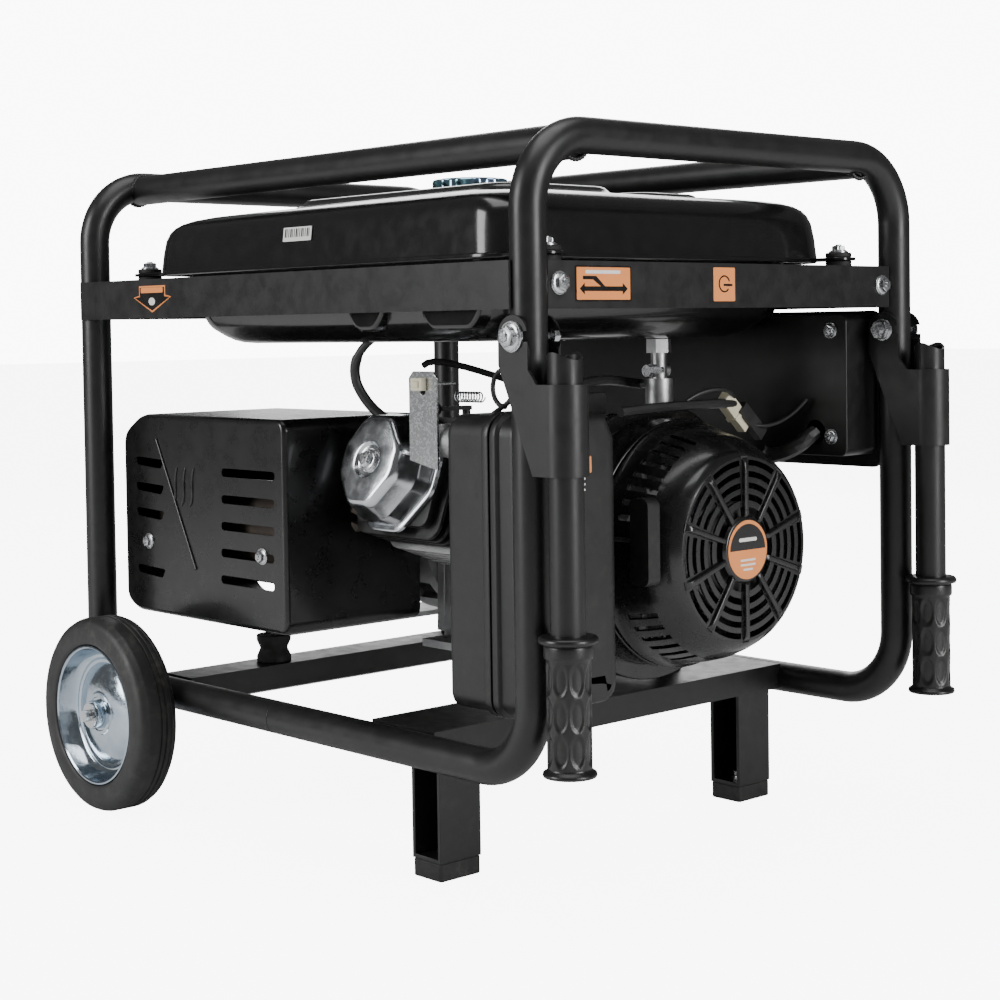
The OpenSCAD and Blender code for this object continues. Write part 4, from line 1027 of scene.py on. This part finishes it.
def valve_cover():
    """The pressed cover: flange, tall faceted skirt, domed face with a dished bolt seat."""
    def eight(w, h):
        return softened_outline([(w, h * 0.35), (w * 0.45, h), (-w * 0.45, h), (-w, h * 0.35),
                                 (-w, -h * 0.3), (-w * 0.4, -h), (w * 0.4, -h), (w, -h * 0.3)], 9, 4)

    bm = bmesh.new()
    rows = [(57, 60, 216), (58, 61, 217.2), (58, 61, 220.6), (56.6, 59.6, 221.6), (53.4, 56.4, 222),
            (52.6, 55.6, 223.4), (52, 55, 236), (51, 54, 239.4), (48, 51.4, 244), (44.4, 48.2, 254),
            (42.6, 46.6, 258.6), (40, 44, 261.6), (36, 40.6, 263), (25, 29, 263.8)]
    loft(bm, [raised(eight(w, h), "z", z) for w, h, z in rows], caps=(True, False))
    edge = raised(eight(25, 29), "z", 263.8)
    rings = [edge]
    for r, z in ((21, 263.9), (18.5, 263.2), (16, 260.2), (13.4, 259.4), (9, 259.4), (1, 259.4)):
        ring = []
        for p in edge:
            away = Vector((p.x, p.y)).normalized()
            ring.append(Vector((away.x * r, away.y * r, z)))
        rings.append(ring)
    loft(bm, rings, caps=(False, True))
    bmesh.ops.transform(bm, matrix=from_cylinder(), verts=bm.verts)
    outward(bm)
    finished("valve_cover_pressing", bm, "frame", "pressed_zinc_cover", ("valve_cover",), smooth=32)
    way = from_cylinder().to_3x3() @ Vector((0, 0, 1))
    seat = from_cylinder() @ Vector((0, 0, 259.4))
    copied("valve_cover_bolt", bolt_head(), [(seat, way, 0.4, 1.15)], "frame", "zinc_steel", smooth=30)


# ---------------------------------------------------------------- wheels and grips


def wheel(side, name):
    """A ribbed solid tyre on a dished, bright rim. Distances run outboard from the wheel's middle."""
    centre = (-AXLE_BACK, side * WHEEL_Y, AXLE_Z)
    tread = [(102.4, 14.5), (103, 12), (103, 1), (101.4, 0.2), (101.4, -1), (103, -1.8), (103, -5),
             (101.4, -5.8), (101.4, -7), (103, -7.8), (103, -11), (101.6, -11.8), (101.4, -13),
             (102.6, -14)]
    wall = [(74.4, 19.6), (75.6, 21.6), (79, 22.8), (86, 23), (93, 22.6), (97.5, 21.2), (100.6, 18.4)]
    profile = wall + tread + [(r, -h) for r, h in reversed(wall)]
    bm = bmesh.new()
    lathe(bm, [(r, side * h) for r, h in profile], centre, "y", 96, closed=True)
    outward(bm)
    finished(name + "_tyre_moulding", bm, name + "_wheel", "tyre_rubber", (name + "_tyre",), smooth=40)
    outside = [(74.2, 19.4), (73.6, 21.0), (72, 21.3), (70.6, 20.2), (69.4, 16), (66.5, 8), (63.4, 3.4),
               (60.6, 2.2), (58.4, 2.6), (57, 3.4), (54, 2.6), (48, 5.6), (40, 8.6), (31, 10.4),
               (25, 10.9), (22.6, 11.4), (21.8, 13.0), (18.4, 13.4), (17.4, 12.2), (15.4, 12.0),
               (15, 13), (15, 20.8), (14.2, 22), (6.1, 22)]
    inside = [(6.1, -22.6), (14.2, -22.6), (15, -21.6), (15, -6), (25, -3), (48, -6), (60, -9), (66.5, -14),
              (70.6, -20.2), (73.6, -21.0), (74.2, -19.4)]
    bm = bmesh.new()
    lathe(bm, [(r, side * h) for r, h in outside + inside], centre, "y", 96, closed=True)
    outward(bm)
    finished(name + "_rim_pressing", bm, name + "_wheel", "wheel_zinc", (name + "_rim",), smooth=35)


def grip(name):
    """A moulded grip: end flanges, a collar and three rows of hollowed ovals."""
    low, high = box_mm(name + "_grip")
    cx, cy, z0 = (low.x + high.x) / 2, (low.y + high.y) / 2, low.z
    around = 96
    rows = [(6, 0, 0), (19, 0, 0), (22.3, 0.5, 0), (23, 2, 0), (22.6, 4, 0), (20, 5.6, 0), (18.9, 7, 0)]
    rows += [(18.9, 8 + 1.6 * k, 1) for k in range(56)]
    rows += [(18.9, 98, 0), (20.4, 99, 0), (20.9, 101, 0), (20.9, 108.5, 0), (20.2, 110, 0), (22, 111, 0),
             (24.6, 111.8, 0), (25.4, 113.6, 0), (25.1, 115.8, 0), (23.6, 117.4, 0), (20, 118, 0),
             (15.4, 118, 0)]
    bm = bmesh.new()
    rings = []
    for r, h, hollow in rows:
        ring = []
        for k in range(around):
            a = 2 * math.pi * k / around
            dip = 0.0
            if hollow:
                v = ((h - 9) % 29.6) / 29.6 * 2 - 1
                u = (k % 12) / 12 * 2 - 1
                inside = 1 - (u * 1.12) ** 2 - (v * 1.06) ** 2
                dip = 1.5 * min(max(inside, 0) * 3.0, 1.0)
            ring.append(Vector((cx + (r - dip) * math.cos(a), cy + (r - dip) * math.sin(a), z0 + h)))
        rings.append(ring)
    loft(bm, rings)
    outward(bm)
    finished(name + "_grip_moulding", bm, name + "_handle", "grip_rubber", (name + "_grip",), smooth=60)


# ---------------------------------------------------------------- labels, plugs, cables and panel


def labels():
    """Plain colour blocks and pictograms where notices sit on such a machine."""
    face_x = POST_X + 6
    bm = bmesh.new()

    def card(outline, axis, level, out, material):
        loft(bm, [raised(outline, axis, level), raised(outline, axis, level + out)], material=material)

    card(rounded_box(-207, 529, -138, 560, 1.5, 3), "x", face_x, 0.35, 1)
    card(rounded_box(-205.5, 530.5, -139.5, 558.5, 1, 3), "x", face_x + 0.1, 0.5, 0)
    card(rounded_box(-195, 553, -152, 556, 1, 3), "x", face_x + 0.3, 0.5, 2)
    arrow = [(-202, 540), (-196, 535), (-196, 538), (-149, 538), (-149, 535), (-143, 540), (-149, 545),
             (-149, 542), (-196, 542), (-196, 545)]
    card(arrow, "x", face_x + 0.3, 0.5, 1)
    nozzle = [(-198, 551), (-198, 548), (-186, 548), (-176, 542), (-171, 542), (-182, 551)]
    card(nozzle, "x", face_x + 0.3, 0.5, 1)
    card(rounded_box(-29, 529, 1, 560, 1.2, 3), "x", face_x, 0.5, 0)
    ring = arc(-14, 545, 8, 20, 320, 16) + arc(-14, 545, 6.6, 320, 20, 16)
    card(ring, "x", face_x + 0.3, 0.5, 1)
    card(rounded_box(-15, 543, -3, 545, 0.6, 3), "x", face_x + 0.3, 0.5, 1)
    side_y = -(POST_Y + 19.3)
    arrow = [(-228, 557), (-178, 557), (-178, 547), (-167, 545), (-203, 529), (-239, 545), (-228, 547)]
    card(arrow[::-1], "y", side_y, -0.4, 0)
    card(drawn_in(arrow[::-1], 1.8), "y", side_y - 0.2, -0.5, 1)
    card(rounded_box(-224, 549.5, -182, 555, 1, 3), "y", side_y - 0.3, -0.5, 0)
    card([(-203 + 6 * math.cos(a), 540.5 + 4 * math.sin(a)) for a in (math.pi * k / 12 for k in range(24))],
         "y", side_y - 0.3, -0.6, 2)
    card(rounded_box(-182, 376, -138, 391, 1, 3), "x", AIR_BOX_FACE, 0.4, 0)
    for i in range(3):
        card(rounded_box(-178, 370 - 5 * i, -146, 372 - 5 * i, 0.8, 2), "x", AIR_BOX_FACE, 0.4, 2)
    outward(bm)
    finished("plain_labels", bm, "frame", "label_orange", extra=("recoil_black", "label_white"))
    bm = bmesh.new()
    card(rounded_box(-34, 596, 12, 610, 1, 3), "y", 0, -0.7, 0)
    for i in range(14):
        x = -31 + 3.0 * i
        card(rounded_box(x, 600, x + (0.8 if i % 3 else 1.7), 608.5, 0.2, 1), "y", -0.6, -0.35, 1)
    outward(bm)
    lean = (Matrix.Translation((0, -228.3, 602)) @ Matrix.Rotation(math.radians(-7), 4, "X")
            @ Matrix.Translation((0, 0, -602)))
    bmesh.ops.transform(bm, matrix=lean, verts=bm.verts)
    finished("tank_bar_label", bm, "frame", "label_white", extra=("recoil_black",))


def plugs():
    """The pale two-part plug on the wiring and the small one on the carburettor's bracket."""
    bm = bmesh.new()
    turn = Matrix.Translation((236, 137, 418)) @ Matrix.Rotation(math.radians(-43), 4, "X")
    shell, collar = ((-6, -23, -8), (6, 2, 8)), ((-7, 1, -9), (7, 6, 9))
    nose, latch = ((-5.4, 6, -7.4), (5.4, 23, 7.4)), ((-2.5, -16, 8), (2.5, 6, 10.5))
    tab = ((-7.4, -10, -5), (-6, -2, 5))
    for low, high in (shell, collar, nose, latch, tab):
        block(bm, low, high)
    turned(bm, 0, turn)
    outward(bm)
    finished("wiring_plug", bm, "frame", "cream_plastic", bevel=0.8, smooth=40)
    bm = bmesh.new()
    block(bm, (142, -214.5, 450), (158, -208, 462))
    block(bm, (146, -216.5, 453), (154, -214, 459))
    outward(bm)
    finished("bracket_plug", bm, "frame", "cream_plastic", bevel=0.8, smooth=40)


def cables():
    """The plug lead's boot, two small leads, the throttle spring and the loop of wire by the valve cover."""
    bm = bmesh.new()
    lead = (bezier((33, -150, 508), (6, -168, 494), (-8, -168, 474), (-4, -162, 452), 14)
            + bezier((-4, -162, 452), (0, -156, 436), (8, -150, 424), (18, -140, 416), 8)[1:])
    tube(bm, lead, [4.2] * 8 + [5.2] * (len(lead) - 8), 14)
    loop = [(226 + 17 * math.cos(a), -176 + 5 * math.sin(a / 2), 452 + 17 * math.sin(a))
            for a in (math.radians(12 * k - 60) for k in range(29))]
    tube(bm, [(206, -168, 428)] + loop, 2.4, 10)
    tube(bm, bezier((240, 60, 432), (250, 90, 450), (250, 120, 442), (239, 134, 432), 16), 2.0, 8)
    tube(bm, bezier((236, 150, 408), (246, 170, 398), (262, 186, 402), (280, 200, 430), 16), 2.0, 8)
    outward(bm)
    finished("loose_leads", bm, "frame", "cable_black", smooth=60)
    bm = bmesh.new()
    coils, path = 9, []
    for k in range(coils * 12 + 1):
        a = 2 * math.pi * k / 12
        path.append((176 + 34 * k / (coils * 12), -186 + 4.6 * math.cos(a), 444 + 4.6 * math.sin(a)))
    tube(bm, path, 0.8, 6)
    outward(bm)
    finished("governor_spring", bm, "frame", "machined_steel", smooth=60)


def panel_trim():
    """The dial, the bezels and the plain marks on the control panel."""
    face = PANEL_FACE
    bm = bmesh.new()
    lathe(bm, [(21.9, -1), (24.6, -1), (24.6, 1.6), (23.2, 3.4), (19.8, 3.4), (19, 2.4), (2, 2.3)],
          (20, face, 470), "y", 48)
    for x in (-50, 20, 90):
        lathe(bm, [(22.4, -1), (27.5, -1), (27.5, 1.0), (26.6, 1.8), (22.6, 1.8)],
              (x, face, 412), "y", 48, closed=True)
    outer, inner = rounded_box(172, 441, 208, 497, 3, 4), rounded_box(177.4, 446.4, 202.6, 491.6, 1, 4)
    plate(bm, outer, [inner], "y", face, 1.6)
    dial = [(20 + 19 * math.cos(a), 470 + 19 * math.sin(a)) for a in (math.pi * k / 24 for k in range(48))]
    loft(bm, [raised(dial, "y", face + 2.2), raised(dial, "y", face + 2.6)], material=1)
    for k in range(9):
        a = math.radians(30 + 15 * k)
        out, across = Vector((math.cos(a), math.sin(a))), Vector((-math.sin(a), math.cos(a))) * 0.4
        centre = Vector((20, 462))
        corners = ((17, -1), (20.5, -1), (20.5, 1), (17, 1))
        mark = [tuple(centre + out * r + across * way) for r, way in corners]
        loft(bm, [raised(mark, "y", face + 2.5), raised(mark, "y", face + 2.8)])
    needle = [(19.2, 461), (20.8, 461), (30.4, 478.6), (29.8, 479)]
    loft(bm, [raised(needle, "y", face + 2.7), raised(needle, "y", face + 3.1)])
    for x, wide in ((20, 14), (190, 10), (270, 12)):
        mark = rounded_box(x - wide, 434, x + wide, 436.4, 1, 2)
        loft(bm, [raised(mark, "y", face - 0.1), raised(mark, "y", face + 0.25)], material=1)
    outward(bm)
    finished("panel_trim", bm, "frame", "panel_black", extra=("label_white",), smooth=40)
    bm = bmesh.new()
    lathe(bm, [(11.6, -1), (15.4, -1), (15.4, 1.2), (14.2, 2.6), (12, 2.6)],
          (270, face, 470), "y", 40, closed=True)
    outward(bm)
    finished("key_bezel", bm, "frame", "machined_steel", smooth=40)


def box_screws():
    """Screws on the control box's inner side."""
    spots = [((x, 206.6, z), (0, -1, 0), 0.3 * k, 0.8)
             for k, (x, z) in enumerate(((306, 392), (270, 386), (306, 500), (-80, 392), (-80, 500)))]
    copied("box_screw_heads", bolt_head(), spots, "frame", "zinc_steel", smooth=30)


# Nodes whose own shape is right and only need rounded edges: node, body, rounding
ROUNDED = (
    ("cross_members", "frame", 1.0), ("leg_channels", "frame", 1.2), ("axle_brackets", "frame", 0.8),
    ("rubber_feet", "frame", 1.5), ("cylinder_block", "frame", 0.8), ("crankcase_cover", "frame", 1.0),
    ("cylinder_head", "frame", 0.6), ("end_bells", "frame", 1.0), ("alternator_cover", "frame", 1.0),
    ("control_box", "frame", 1.2), ("control_panel", "frame", 1.0), ("carburettor", "frame", 1.0),
    ("fan_housing", "frame", 1.2), ("stator", "frame", 0.8), ("rubber_mounts", "frame", 1.0),
    ("petcock_body", "frame", 0.5), ("filler_neck", "frame", 0.6), ("control_bracket", "frame", 0.5),
    ("spark_plug_set", "frame", 0.5), ("pull_handle", "pull_handle", 2.0),
    ("petcock_lever", "petcock_lever", 0.6), ("choke_lever", "choke_lever", 0.6),
    ("oil_dipstick", "oil_dipstick", 0.8), ("key_switch", "key_switch", 0.5),
    ("breaker_toggle", "breaker_toggle", 0.8),
)


def main():
    camera()
    studio()
    paint_nodes()
    slots = {part["node"]: part["material_slot"] for part in frame["record"]["subparts"]}
    for node, body, rounding in ROUNDED:
        softened(node, body, slots[node], rounding)
    hoop(1, "front_hoop")
    hoop(-1, "rear_hoop")
    top_rails()
    tank_beams()
    fasteners()
    tank_upper()
    tank_rim()
    tank_lower()
    fuel_cap()
    recoil_cover()
    recoil_ribs()
    recoil_badge()
    starter_rope()
    air_box()
    muffler_guard()
    valve_cover()
    for side, name in ((-1, "near"), (1, "far")):
        wheel(side, name)
        grip(name)
        softened(name + "_handle_arm", name + "_handle", slots[name + "_handle_arm"], 1.0)
    labels()
    plugs()
    cables()
    panel_trim()
    box_screws()


main()
